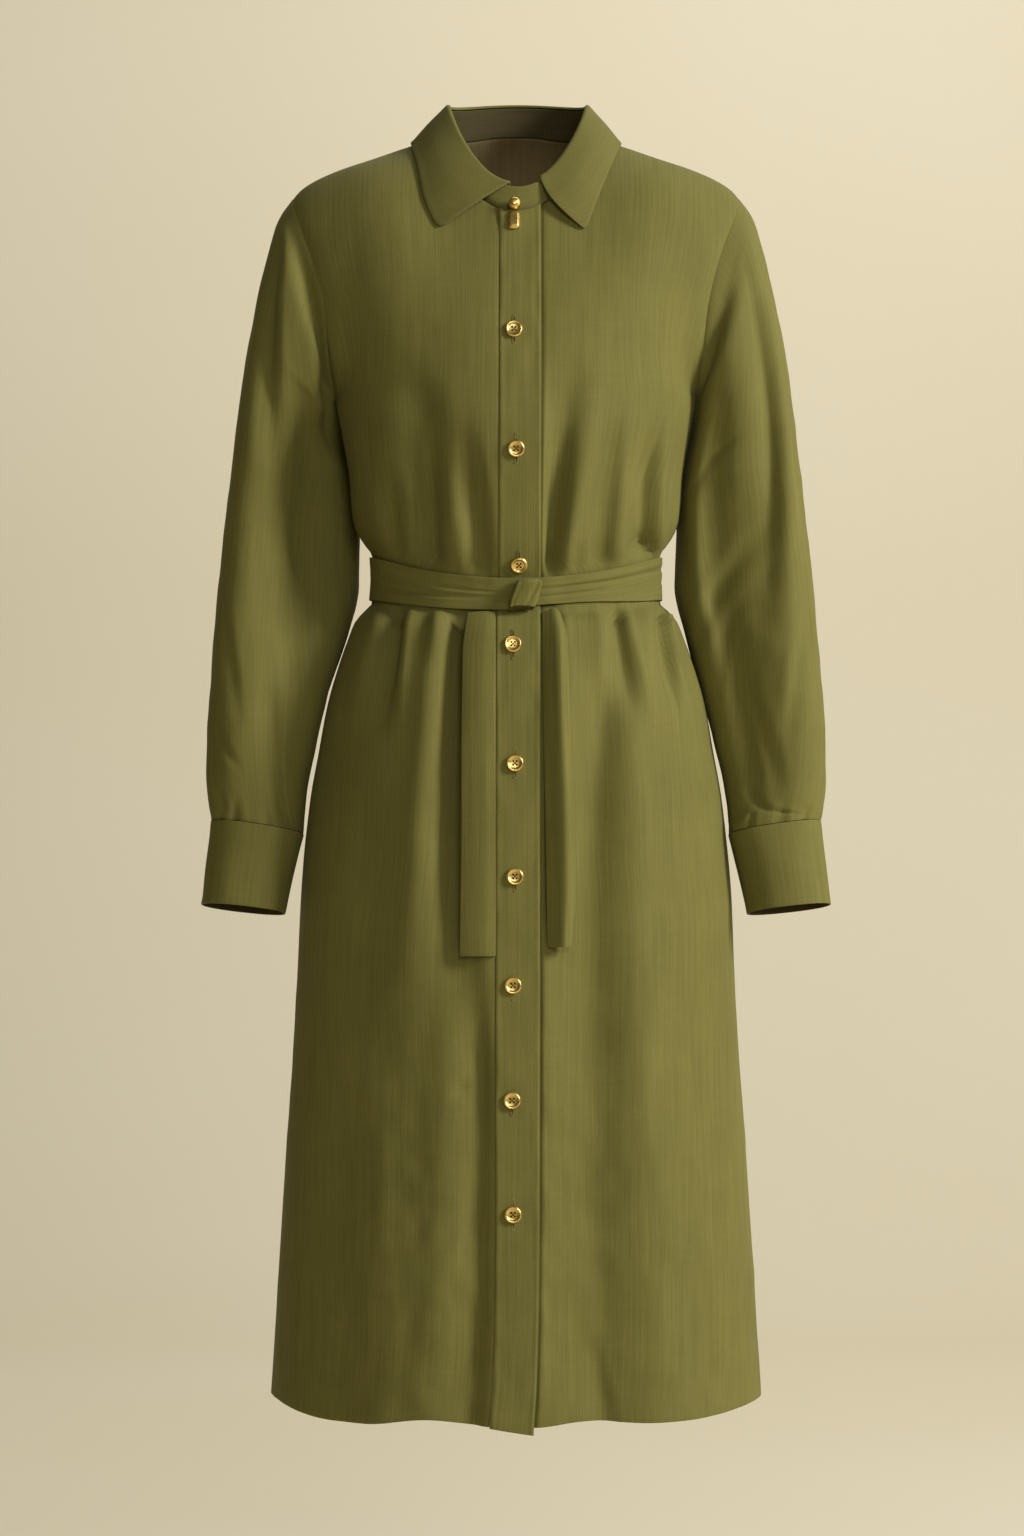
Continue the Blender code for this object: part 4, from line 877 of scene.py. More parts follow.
# %% Placket
PLACKET_COLUMNS = 24
PLACKET_DROP = (1.2, 6.4)
PRESSED_EDGE = 4.0
EDGE_RIDGE = 0.55
EDGE_RIDGE_IN = 1.8
EDGE_RIDGE_WIDTH = 1.3
TOP_RISE = 2.0
TOP_RISE_FROM = 0.86
DIMPLE_SLANT = np.array(((1.0, 0, 0.55), (0, 0.6, 0), (-0.45, 0, 0.8)))
DIMPLE_DEPTH = 0.75
DIMPLE_SIZE = 21.0
PLACKET_SWELL = 0.35
BUTTON_PULL = 0.7
BUTTON_PULL_SIZE = 13.0
Button = namedtuple("Button", "height across")
BUTTONS = rows_of(
    Button,
    (-174, -1.9), (-278, 0), (-377, 2.5), (-449, -2.7), (-552, -1), (-650, -1), (-744, -2.7),
    (-843, -3.6), (-941, -2.7),
)


def on_front(across, level, out):
    """Points over the front at distances from the centre, moved off its inner face."""
    share = share_at(across, level)
    return body(share, level, True) + outward(share, level, True) * np.asarray(out)[..., None]


def dimples(points):
    """Soft diagonal hollows between the buttons, and the pull of each button."""
    depth = DIMPLE_DEPTH * ripple(points @ DIMPLE_SLANT, DIMPLE_SIZE, 11)
    for button in BUTTONS:
        away = np.hypot(points[..., 0] - button.across, points[..., 2] - button.height)
        depth += BUTTON_PULL * bell(away / BUTTON_PULL_SIZE)
    return depth


fractions = (1 - np.cos(np.linspace(0, np.pi, PLACKET_COLUMNS + 1))) / 2
placket_left = placket_edge("left", LEVELS)[:, None]
placket_right = placket_edge("right", LEVELS)[:, None]
placket_across = mix(placket_left, placket_right, fractions)
to_edge = np.minimum(placket_across - placket_left, placket_right - placket_across)
flat_placket = on_front(placket_across, LEVELS[:, None], np.full_like(placket_across, PLACKET_OUT + WALL))
rise = smooth(to_edge / PRESSED_EDGE) * (PLACKET_SWELL - dimples(flat_placket))
rise += EDGE_RIDGE * bell((to_edge - EDGE_RIDGE_IN) / EDGE_RIDGE_WIDTH)
rise += TOP_RISE * smooth((LEVELS[:, None] - TOP_RISE_FROM) / (1 - TOP_RISE_FROM))
placket_points = on_front(placket_across, LEVELS[:, None], PLACKET_OUT + WALL + rise)
placket_points = wavy_hem(placket_points)
placket_points[-1, :, 2] -= mix(*PLACKET_DROP, fractions)
placket = cloth("placket_cloth", placket_points, round_axis(placket_points), COTTON)
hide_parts("placket")
print("placket rows and columns:", placket_points.shape[:2])

# %% [markdown]
# ## Sleeves
# A sleeve is a tube that leaves the armhole, turns down at the shoulder and narrows to the cuff.
# Its creases run along the arm and slant round it, deepest at the elbow. A place on it is a turn
# (0 outer side, 0.25 front, 0.5 inner side) and a share along, from the armhole to the cuff. Under
# the arm it keeps close to the side seam, and the wearer's left sleeve is full in front.

# %% Rings of the sleeves
Ring = namedtuple("Ring", "outer_x outer_z inner_x inner_z front back tilt tuck")
SLEEVE_RINGS = rows_of(
    Ring,
    (200, -45, 161, -226, -50, 58, 0, 0),
    (212, -62, 163.5, -229, -54, 61, 0, 0),
    (223, -97, 162.5, -235, -58, 62, 0, 4),
    (234, -144, 160.5, -244, -59, 62, 0, 11),
    (244, -196, 157.5, -257, -59, 61, 0, 20),
    (250.5, -245, 153.2, -275, -58, 59, 0, 27),
    (255.5, -290, 148.4, -303, -57, 57, 0, 34),
    (261, -338, 147, -345, -57, 54, 0, 31),
    (265.5, -385, 146.5, -391, -58, 50, 1, 21),
    (270, -430, 156, -437, -58, 44, 2, 11),
    (273.5, -477, 169, -485, -56, 37, 3, 4),
    (277, -523, 180, -532, -53, 30, 3.5, 0),
    (277.5, -563, 188, -573, -51, 23, 4, 0),
    (275, -590, 190.5, -602, -50, 18, 4.5, 0),
    (272.5, -603, 190.5, -615, -50, 16, 4.5, 0),
)
CUFF_RINGS = rows_of(
    Ring,
    (273, -603.6, 190, -615.6, -51, 16.5, 4.5, 0),
    (277, -641, 199, -652, -56, 12, 4.5, 0),
    (281, -678, 206, -686, -61, 7.5, 4.5, 0),
)
print("rings of a sleeve:", len(SLEEVE_RINGS))

# %% Sleeve sizes
DOUBLE_WALL = 1.6
SLEEVE_ROWS = 124
SLEEVE_COLUMNS = 92
CUFF_ROWS = 18
ARMHOLE_BLEND = 0.2
ARMHOLE_CLEARANCE = 0.4
UNDERARM_CLEARANCE = 0.7
ALLOWANCE = 4.0
ALLOWANCE_SINK = 1.7
print("sleeve rows and columns:", SLEEVE_ROWS, SLEEVE_COLUMNS)

# %% Creases of the right sleeve
SleeveCrease = namedtuple("SleeveCrease", "turn_top top turn_mid mid turn_low low width depth lean")
RIGHT_SLEEVE_CREASES = rows_of(
    SleeveCrease,
    (0.35, -0.04, 0.42, 0.12, 0.44, 0.38, 0.052, 11.5, 0),
    (0.35, 0.24, 0.325, 0.45, 0.31, 0.72, 0.1, 22, 0),
    (0.34, 0.44, 0.31, 0.66, 0.36, 1, 0.08, 9, 0),
    (0.09, 0.07, 0.165, 0.235, 0.215, 0.42, 0.032, 6.5, 0.1),
    (0.29, 0.44, 0.27, 0.56, 0.24, 0.68, 0.02, 2.2, -0.2),
    (0.08, 0.58, 0.13, 0.66, 0.2, 0.78, 0.018, 2.2, 0.2),
    (0.24, 0.68, 0.3, 0.8, 0.37, 0.94, 0.022, 3, 0.25),
    (0.09, 0.76, 0.14, 0.8, 0.22, 0.85, 0.014, 1.9, 0),
    (0.1, 0.86, 0.14, 0.91, 0.15, 0.97, 0.014, 1.9, 0),
    (0.2, 0.9, 0.19, 0.96, 0.185, 1.05, 0.014, 2.2, 0),
    (0.29, 0.92, 0.29, 0.97, 0.29, 1.05, 0.014, 2, 0),
    (0.12, 0.93, 0.12, 0.98, 0.12, 1.05, 0.013, 1.6, 0),
    (0.7, 0.18, 0.74, 0.45, 0.76, 0.72, 0.036, 5, 0.2),
    (0.6, 0.34, 0.64, 0.48, 0.69, 0.62, 0.028, 4, -0.2),
    (0.88, 0.46, 0.86, 0.7, 0.84, 0.94, 0.034, 4, 0.2),
    (0.55, 0.6, 0.6, 0.72, 0.66, 0.86, 0.026, 3.2, 0),
    (0.72, 0.91, 0.72, 0.97, 0.72, 1.05, 0.016, 2.6, 0),
    (0.94, 0.92, 0.94, 0.97, 0.94, 1.05, 0.014, 2, 0),
)
print("creases in the right sleeve:", len(RIGHT_SLEEVE_CREASES))

# %% Creases of the left sleeve
LEFT_SLEEVE_CREASES = rows_of(
    SleeveCrease,
    (0.17, 0.08, 0.165, 0.34, 0.225, 0.66, 0.038, 10, -0.3),
    (0.24, 0.34, 0.32, 0.38, 0.42, 0.46, 0.018, 1.6, 0.2),
    (0.2, 0.49, 0.3, 0.56, 0.44, 0.66, 0.03, 3.4, 0.2),
    (0.24, 0.58, 0.33, 0.64, 0.44, 0.74, 0.022, 1.8, -0.2),
    (0.1, 0.6, 0.15, 0.68, 0.22, 0.8, 0.022, 2.4, 0.2),
    (0.29, 0.42, 0.33, 0.66, 0.35, 0.95, 0.09, 16, 0),
    (0.3, 0.72, 0.27, 0.8, 0.25, 0.9, 0.018, 2, 0),
    (0.05, 0.3, 0.07, 0.42, 0.08, 0.54, 0.022, 2, 0),
    (0.38, 0.86, 0.28, 0.93, 0.16, 0.98, 0.02, 2.4, 0),
    (0.24, 0.9, 0.24, 0.96, 0.24, 1.05, 0.014, 2.2, 0),
    (0.34, 0.92, 0.345, 0.97, 0.345, 1.05, 0.014, 2, 0),
    (0.15, 0.93, 0.15, 0.98, 0.15, 1.05, 0.013, 1.6, 0),
    (0.72, 0.18, 0.76, 0.42, 0.78, 0.68, 0.036, 5, 0.2),
    (0.61, 0.36, 0.66, 0.5, 0.7, 0.62, 0.028, 3.8, -0.2),
    (0.86, 0.46, 0.84, 0.68, 0.82, 0.92, 0.034, 4, 0.2),
    (0.56, 0.62, 0.61, 0.74, 0.67, 0.88, 0.026, 3.2, 0),
    (0.76, 0.91, 0.76, 0.97, 0.76, 1.05, 0.016, 2.6, 0),
    (0.05, 0.92, 0.05, 0.97, 0.05, 1.05, 0.014, 2, 0),
)
print("creases in the left sleeve:", len(LEFT_SLEEVE_CREASES))

# %% How each sleeve sits
SleeveFit = namedtuple("SleeveFit", "side seed fullness underarm hollow_depth hollow_at hollow_length")
SLEEVE_FITS = {
    "right": SleeveFit(-1, 21, 0.0, 1.0, 10.5, 0.052, 0.032),
    "left": SleeveFit(1, 31, 20.0, 5.0, 5.5, 0.075, 0.042),
}
HOLLOW_TURN = 0.29
HOLLOW_WIDTH = 0.13
INNER_TURN = 0.5
HOLD_WIDTH = 0.05
HOLD_START = 0.06
HOLD_FROM = 0.14
HOLD_FADE = 0.30
FULL_TURN = 0.405
FULL_WIDTH = 0.065
FULL_AT = 0.42
FULL_LENGTH = 0.2
HEAD_CALM = 0.08
HEM_CALM = 0.03
SLEEVE_WAVE = (0.9, 60.0)
SLEEVE_CRUMPLE = (0.55, 20.0)
CUFF_WAVE = (0.7, 38.0)
CUFF_CALM = (0.2, 0.1)
CREASE_END_POWER = 0.8


# %% Inner faces of the sleeves
def ring_point(ring, turn):
    along, ahead = np.cos(2 * np.pi * turn), np.sin(2 * np.pi * turn)
    along = np.sign(along) * np.abs(along) ** (2 / SECTION_POWER)
    ahead = np.sign(ahead) * np.abs(ahead) ** (2 / SECTION_POWER)
    x = mix(ring.inner_x, ring.outer_x, (1 + along) / 2)
    y = mix(ring.back, ring.front, (1 + ahead) / 2) + ring.tuck * (1 - along) / 2
    z = mix(ring.inner_z, ring.outer_z, (1 + along) / 2) + ring.tilt * ahead
    return point(x, y, z)


def ring_at(rings, along, by):
    """The rings at shares along a table of them, drawn in by a distance."""
    keys = np.arange(len(rings))
    at = along * (len(rings) - 1)
    ring = Ring(*[through(keys, [getattr(row, name) for row in rings], at) for name in Ring._fields])
    wide, high = ring.outer_x - ring.inner_x, ring.outer_z - ring.inner_z
    length = np.hypot(wide, high)
    in_x, in_z = wide / length * by, high / length * by
    ring = ring._replace(outer_x=ring.outer_x - in_x, outer_z=ring.outer_z - in_z)
    ring = ring._replace(inner_x=ring.inner_x + in_x, inner_z=ring.inner_z + in_z)
    return ring._replace(front=ring.front + by, back=ring.back - by)


def sleeve_inner(turn, along):
    """The sleeve's inner face with no creases. Near the armhole it follows the armhole's edge."""
    up = np.abs(1 - 2 * turn)
    is_ahead = (turn <= 0.5)[..., None]
    armhole = np.where(is_ahead, armhole_edge(up, True), armhole_edge(up, False))
    low = (1 - np.cos(2 * np.pi * turn)) / 2
    armhole = armhole + point(mix(ARMHOLE_CLEARANCE, UNDERARM_CLEARANCE, low), 0, 0)
    first = ring_at(SLEEVE_RINGS, np.zeros_like(along), WALL)
    hold = (1 - smooth(along / ARMHOLE_BLEND))[..., None] ** 2
    place = ring_point(ring_at(SLEEVE_RINGS, along, WALL), turn)
    return place + (armhole - ring_point(first, turn)) * hold


def sleeve_crease_depth(creases, turn, along, fit):
    """How far the creases push a sleeve in, with the hollow below its head."""
    depth = np.zeros(turn.shape)
    for crease in creases:
        keys = (crease.top, crease.mid, crease.low)
        centre = through(keys, (crease.turn_top, crease.turn_mid, crease.turn_low), along)
        down = np.clip((along - crease.top) / (crease.low - crease.top), 0.0, 1.0)
        away = (turn - centre + 0.5) % 1 - 0.5
        strength = crease.depth * np.sin(np.pi * down) ** CREASE_END_POWER
        depth += strength * trough(away, crease.width, crease.lean)
    hollow = fit.hollow_depth * bell((along - fit.hollow_at) / fit.hollow_length)
    return depth + hollow * bell((turn - HOLLOW_TURN) / HOLLOW_WIDTH)


# %% Sleeves and cuffs
def turns_round(rows, columns):
    """Turns round a closed tube and shares along it, for each point of its grid."""
    turn = np.arange(columns + 1) % columns / columns
    return np.broadcast_arrays(turn, np.linspace(0, 1, rows + 1)[:, None])


def unevenness(points, wave, seed):
    """Ripples of a depth and a size, both in millimetres."""
    depth, size = wave
    return depth * ripple(points, size, seed)


def tube(name, inner, wall, depth, side, allowance=False, **options):
    """A closed piece of cloth round its own rows, on the wearer's left (1) or right (-1).

    allowance adds the seam allowance, a row that lies under the cloth above it.
    """
    inner = inner * point(side, 1, 1)
    out = facing(inner, round_rows(inner))
    out[:, 0] = out[:, -1] = unit(out[:, 0] + out[:, -1])
    points = inner + out * (wall - depth)[..., None]
    if allowance:
        back_up = unit(points[0] - points[2]) * ALLOWANCE - out[0] * ALLOWANCE_SINK
        points = np.concatenate(((points[0] + back_up)[None], points))
    return points, cloth(name, points, round_rows(points), COTTON, **options)


def make_sleeve(name, creases):
    fit = SLEEVE_FITS[name]
    turn, along = turns_round(SLEEVE_ROWS, SLEEVE_COLUMNS)
    inner = sleeve_inner(turn, along)
    depth = sleeve_crease_depth(creases, turn, along, fit)
    hold = bell((turn - INNER_TURN) / HOLD_WIDTH) * smooth(along / HOLD_START)
    hold = hold * (1 - smooth((along - HOLD_FROM) / HOLD_FADE))
    inner[..., 0] -= fit.underarm * hold
    full = fit.fullness * bell((turn - FULL_TURN) / FULL_WIDTH)
    inner[..., 1] -= full * bell((along - FULL_AT) / FULL_LENGTH)
    by_ends = smooth(along / HEAD_CALM) * smooth((1 - along) / HEM_CALM)
    waves = unevenness(inner, SLEEVE_WAVE, fit.seed) + unevenness(inner, SLEEVE_CRUMPLE, fit.seed + 1)
    depth = depth * (1 - hold) + waves * by_ends
    points, sleeve = tube(f"sleeve_{name}_cloth", inner, WALL, depth, fit.side, allowance=True)
    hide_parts(f"sleeve_{name}")
    return points


def make_cuff(name, side, seed):
    turn, along = turns_round(CUFF_ROWS, SLEEVE_COLUMNS)
    inner = ring_point(ring_at(CUFF_RINGS, along, DOUBLE_WALL), turn)
    depth = unevenness(inner, CUFF_WAVE, seed) * smooth(along / CUFF_CALM[0])
    depth = depth * smooth((1 - along) / CUFF_CALM[1])
    points, cuff = tube(f"cuff_{name}_cloth", inner, DOUBLE_WALL, depth, side, shell_wall=DOUBLE_SHELL)
    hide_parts(f"cuff_{name}")
    return points


for name, creases in (("right", RIGHT_SLEEVE_CREASES), ("left", LEFT_SLEEVE_CREASES)):
    sleeve_points = make_sleeve(name, creases)
cuff_points = {"right": make_cuff("right", -1, 41), "left": make_cuff("left", 1, 43)}
print("sleeve rows and columns:", sleeve_points.shape[:2])

# %% [markdown]
# ## Collar and stand
# A shirt collar is two pieces: a stand, which buttons round the neck, and the collar proper,
# which rolls over the stand's upper edge and falls to its points. Both are doubled cloth with
# interlining between, so they bend smoothly and hold their edges.

# %% Sizes of the stand
STAND_HALF_WIDTH = 61.5
STAND_FRONT_DEPTH = 63.0
STAND_BACK_DEPTH = 48.0
STAND_SIDE_HEIGHT = 38.0
STAND_FRONT_DROP = 80.5
STAND_BACK_RISE = 9.0
ROLL_DROP_POWER = 1.6
STAND_SHIFT = 1.5
STAND_RAISE = (1.2, 2.5)
STAND_START = -20.0
STAND_END = 370.0
STAND_STEP = 2.5
STAND_ROWS = 10
STAND_ROUND_FROM = -12.0
STAND_ROUNDING = 0.3
UNDER_LEAF_SHARE = 0.8
STAND_SINK = (0.6, 2.6)
STAND_SINK_FADE = 4.0
STAND_TUCK = 2.0
OVERLAP_LIFT = 2.4
OVERLAP_LIFT_FROM = 15.0
OVERLAP_LIFT_FADE = 60.0
print("neck opening across, mm:", 2 * STAND_HALF_WIDTH)

# %% Sizes of the collar
CollarEdge = namedtuple("CollarEdge", "turn quarter level")
COLLAR_EDGE = rows_of(
    CollarEdge,
    (6.5, -0.261, 0.613), (22, -0.353, 0.655), (42, -0.405, 0.82), (62, -0.442, 0.939),
    (80, -0.457, 1), (100, -1.57, 0.928), (120, -1.634, 0.845), (142, -1.784, 0.849),
    (162, -1.898, 0.858), (180, -2, 0.858), (198, 1.898, 0.858), (218, 1.784, 0.849),
    (240, 1.634, 0.845), (260, 1.57, 0.928), (280, 0.457, 1), (300, 0.397, 0.836),
    (322, 0.306, 0.717), (340.5, 0.2234, 0.6566),
)
COLLAR_SHARES = (0.2, 0.5, 0.78, 1.0)
COLLAR_SEAT = 2.2
COLLAR_ROLL_GAP = 0.5
COLLAR_ROLL = (1.0, 1.4)
COLLAR_BULGE = (1.0, 4.0)
LEADING_FROM = 322.0
LEADING_SLACK = 6.0
COLLAR_COLUMNS = 150
COLLAR_ROWS = 26
COLLAR_CREST = 0.08
COLLAR_ROW_POWER = 1.3
SLACK_POWER = 0.8
COLLAR_EDGE_RIDGE = 0.5
COLLAR_EDGE_IN = 1.6
COLLAR_EDGE_WIDTH = 2.2
CollarCorner = namedtuple("CollarCorner", "column inwards radius")
COLLAR_CORNERS = rows_of(
    CollarCorner,
    (0, 1, 9), (-1, -1, 5),
)
MIDDLE_OF_NECK = (0.0, 0.0, -10.0)
UNDER_NECK = (0.0, 5.0, -60.0)
print("places on the collar's edge:", len(COLLAR_EDGE))


# %% Stand and collar surfaces
def front_share_of(turn):
    """1 at the front's centre of the neck, falling to 0 at the back's."""
    return (1 + np.cos(np.radians(turn))) / 2


def neck_seam(turn):
    """Points of the neck's seam, by degrees round it from the front's centre."""
    turn = np.asarray(turn, float) % 360
    side = np.where(turn < 180, -1.0, 1.0)
    turn = np.minimum(turn, 360 - turn)
    found = {}
    for is_front, near in ((True, np.minimum(turn, 90)), (False, np.minimum(180 - turn, 90))):
        share = curve(NECK[is_front], "turn", "share", near)
        found[is_front] = shell(side, share, curve(NECK[is_front], "turn", "up", near), is_front)
    return np.where((turn <= 90)[..., None], found[True], found[False])


def roll_line(turn):
    """The stand's upper edge, over which the collar folds."""
    angle = np.radians(turn)
    ahead, behind = np.maximum(np.cos(angle), 0), np.maximum(-np.cos(angle), 0)
    across = STAND_SHIFT - STAND_HALF_WIDTH * np.sin(angle)
    depth = SHOULDER_SEAM_DEPTH - STAND_FRONT_DEPTH * ahead + STAND_BACK_DEPTH * behind
    height = STAND_SIDE_HEIGHT - STAND_FRONT_DROP * ahead**ROLL_DROP_POWER + STAND_BACK_RISE * behind**2
    return point(across, depth, height)


def neck_outward(turn):
    """The direction away from the neck, square to the stand."""
    seam = neck_seam(turn)
    way = unit(np.cross(roll_line(turn) - seam, neck_seam(turn + 1) - neck_seam(turn - 1)))
    return way * np.sign(np.sum(way * seam * (1, 1, 0), axis=-1))[..., None]


def stand_point(turn, up):
    """Points of the stand's outer face: up is 0 at the neck's seam and 1 at the roll line."""
    low, high = neck_seam(turn), roll_line(turn)
    start = mix(*STAND_RAISE, front_share_of(turn)) / np.linalg.norm(high - low, axis=-1)
    lift = OVERLAP_LIFT * (1 - smooth((turn - OVERLAP_LIFT_FROM) / OVERLAP_LIFT_FADE))
    return mix(low, high, mix(start, 1.0, up)[..., None]) + neck_outward(turn) * lift[..., None]


def body_at_quarter(quarter, level, out):
    """Points off the body's inner face, by quarters counted round from the front's centre."""
    back_share = np.sign(quarter) * (2 - np.abs(quarter))
    ahead = np.clip(quarter, -1, 1)
    front = body(ahead, level, True) + outward(ahead, level, True) * np.asarray(out)[..., None]
    behind = np.clip(back_share, -1, 1)
    back = body(behind, level, False) + outward(behind, level, False) * np.asarray(out)[..., None]
    return np.where((np.abs(quarter) <= 1)[..., None], front, back)


def collar_edge(turn):
    """The collar's free edge, a little above the body under it."""
    quarters = np.array([row.quarter for row in COLLAR_EDGE])
    rest = body_at_quarter(quarters, np.array([row.level for row in COLLAR_EDGE]), COLLAR_SEAT)
    turns = [row.turn for row in COLLAR_EDGE]
    return point(*(through(turns, rest[:, i], turn) for i in range(3)))


def collar_surface(turn, rows):
    """The collar's inner face: from the roll line over it and down to the free edge."""
    out = neck_outward(turn)
    up = np.array((0, 0, 1.0))
    top = stand_point(turn, np.ones_like(turn)) + up * COLLAR_ROLL_GAP
    crest = top + out * COLLAR_ROLL[0] + up * COLLAR_ROLL[1]
    fall = collar_edge(turn) - crest
    off = unit(np.cross(fall, roll_line(turn + 1) - roll_line(turn - 1)))
    off = off * np.sign(np.sum(off * (out + up / 3), axis=-1))[..., None]
    bulge = mix(*COLLAR_BULGE, front_share_of(turn) ** 2)[..., None]
    knots = [top, crest]
    for share in COLLAR_SHARES:
        knots.append(crest + fall * share + off * bulge * math.sin(math.pi * share))
    keys = [0.0, COLLAR_CREST] + [COLLAR_CREST + (1 - COLLAR_CREST) * share for share in COLLAR_SHARES]
    at = np.linspace(0, 1, rows + 1) ** COLLAR_ROW_POWER
    leading = smooth((turn - LEADING_FROM) / (COLLAR_EDGE[-1].turn - LEADING_FROM)) ** 2
    slack = point(-LEADING_SLACK * leading, 0, -0.5 * LEADING_SLACK * leading)
    share = np.sin(np.pi * np.clip((at - COLLAR_CREST) / (1 - COLLAR_CREST), 0, 1) ** SLACK_POWER)
    surface = np.empty((rows + 1, len(turn), 3))
    for j, column in enumerate(np.array(knots).transpose(1, 2, 0)):
        surface[:, j] = np.column_stack([through(keys, values, at) for values in column])
    return surface + share[:, None, None] * slack


print("roll line at the back, mm:", roll_line(np.array([180.0])).round(1))

# %% Stand
stand_turns = np.arange(STAND_START, STAND_END + STAND_STEP / 2, STAND_STEP)
stand_up = np.linspace(1, 0, STAND_ROWS + 1)[:, None]
past_end = np.clip((STAND_ROUND_FROM - stand_turns) / (STAND_ROUND_FROM - STAND_START), 0, 1)
rounding = STAND_ROUNDING * past_end**3
stand_grid = np.broadcast_to(stand_turns, (STAND_ROWS + 1, len(stand_turns)))
stand_points = stand_point(stand_grid, stand_up * (1 - rounding))
under_leaf = smooth((stand_turns - STAND_START) / STAND_SINK_FADE) * (stand_turns < 90)
sink = np.zeros((STAND_ROWS + 1, 1))
sink[-2:, 0] = STAND_SINK
sink = sink * (front_share_of(stand_turns) > UNDER_LEAF_SHARE) * under_leaf
stand_points = stand_points - neck_outward(stand_turns) * sink[..., None]
stand_points[-1, :, 2] -= STAND_TUCK * under_leaf
stand_middles = np.broadcast_to(MIDDLE_OF_NECK, stand_points.shape)
stand = cloth("collar_stand_cloth", stand_points, stand_middles, INTERLINED_PAINTED_SHADE, DOUBLE_SHELL, turned=True)
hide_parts("collar_stand")

# %% Collar
collar_turns = np.linspace(COLLAR_EDGE[0].turn, COLLAR_EDGE[-1].turn, COLLAR_COLUMNS + 1)
collar_inner = collar_surface(collar_turns, COLLAR_ROWS)
collar_out = facing(collar_inner, np.broadcast_to(UNDER_NECK, collar_inner.shape))
from_hem = np.linalg.norm(collar_inner - collar_inner[-1:], axis=-1)
from_ends = np.minimum(
    np.linalg.norm(collar_inner - collar_inner[:, :1], axis=-1),
    np.linalg.norm(collar_inner - collar_inner[:, -1:], axis=-1),
)
to_free_edge = np.minimum(from_hem, from_ends)
edge_ridge = COLLAR_EDGE_RIDGE * bell((to_free_edge - COLLAR_EDGE_IN) / COLLAR_EDGE_WIDTH)
collar_points = collar_inner + collar_out * (DOUBLE_WALL + edge_ridge)[..., None]
along_edge = unit(np.gradient(collar_points, axis=1))
up_leaf = -unit(np.gradient(collar_points, axis=0))
for corner in COLLAR_CORNERS:
    from_end = np.linalg.norm(collar_points - collar_points[:, [corner.column]], axis=-1)
    past = np.stack((corner.radius - from_end, corner.radius - from_hem))
    past = np.maximum(past, 0)
    size = np.maximum(np.hypot(*past), 1e-6)
    sideways, upwards = (past * (1 - past.max(axis=0) / size))[..., None]
    collar_points = collar_points + along_edge * (corner.inwards * sideways) + up_leaf * upwards
collar_middles = np.broadcast_to(UNDER_NECK, collar_points.shape)
collar = cloth("collar_cloth", collar_points, collar_middles, INTERLINED_PAINTED_SHADE, DOUBLE_SHELL, turned=True)
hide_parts("collar")
print("stand and collar:", stand_points.shape[:2], collar_points.shape[:2])

# %% [markdown]
# ## Tie belt
# The belt is a doubled strip of the same cloth, turned inside out and pressed. Pulled tight, it
# creases along its length, most of all where it runs into the knot. The knot is the belt wrapped
# round itself, and its two ends hang down: one flat, one folded along its middle.

# %% Sizes of the belt
BELT_TOP = -366.5
BELT_BOTTOM = -406.0
BELT_BOTTOM_NEAR_KNOT = -398.0
BELT_RISE_QUARTER = 0.22
BELT_RISE_WIDTH = 0.3
BELT_WALL = 1.6
BELT_OUT = WALL + 0.9
BELT_OVER_PLACKET = 22.0
BELT_OVER_FADE = 20.0
BELT_ROWS = 26
BELT_COLUMNS = 300
BELT_LEAN = 0.2
BELT_PILLOW = 0.8
BELT_EDGE_SHARE = 0.02
BELT_PILLOW_POWER = 0.4
BELT_RAISE = 0.6
BELT_DEEPEST = -1.9
BELT_WAVE = (0.5, 24.0)
BeltCrease = namedtuple("BeltCrease", "start end up_start up_end width depth")
BELT_CREASES = rows_of(
    BeltCrease,
    (-0.85, -0.04, 0.74, 0.6, 0.055, 1.5),
    (-0.5, -0.02, 0.3, 0.46, 0.05, 1),
    (-1.6, -0.95, 0.35, 0.55, 0.06, 1),
    (0.03, 1.05, 0.4, 0.28, 0.06, 2.1),
    (0.03, 0.42, 0.72, 0.62, 0.05, 1.1),
    (0.9, 1.7, 0.6, 0.42, 0.06, 1),
)
print("creases in the belt:", len(BELT_CREASES))


# %% Belt round the waist
def front_lift(across):
    """How far the wearer's right front is lifted beside the placket."""
    distance = PLACKET_EDGES[0].left - across
    return np.where(distance > 0, FRONT_LIFT * (1 - smooth(distance / FRONT_LIFT_FADE)), 0.0)


def belt_out(across):
    """From the body's inner face to the belt's, over the placket and the lifted front."""
    middle = (PLACKET_EDGES[0].left + PLACKET_EDGES[0].right) / 2
    beside = smooth((np.abs(across - middle) - BELT_OVER_PLACKET) / BELT_OVER_FADE)
    return BELT_OUT + np.maximum(PLACKET_OUT * (1 - beside), front_lift(across))


def belt_surface(quarter, down, extra):
    """Points of the belt: down is 0 at its upper edge and 1 at its lower one."""
    near_knot = np.where(quarter >= 0, bell((quarter - BELT_RISE_QUARTER) / BELT_RISE_WIDTH), 0.0)
    level = mix(BELT_TOP, mix(BELT_BOTTOM, BELT_BOTTOM_NEAR_KNOT, near_knot), down)
    across = body_at_quarter(quarter, level, 0.0)[..., 0]
    out = np.where(np.abs(quarter) < 1, belt_out(across), BELT_OUT)
    return body_at_quarter(quarter, level, out + extra)


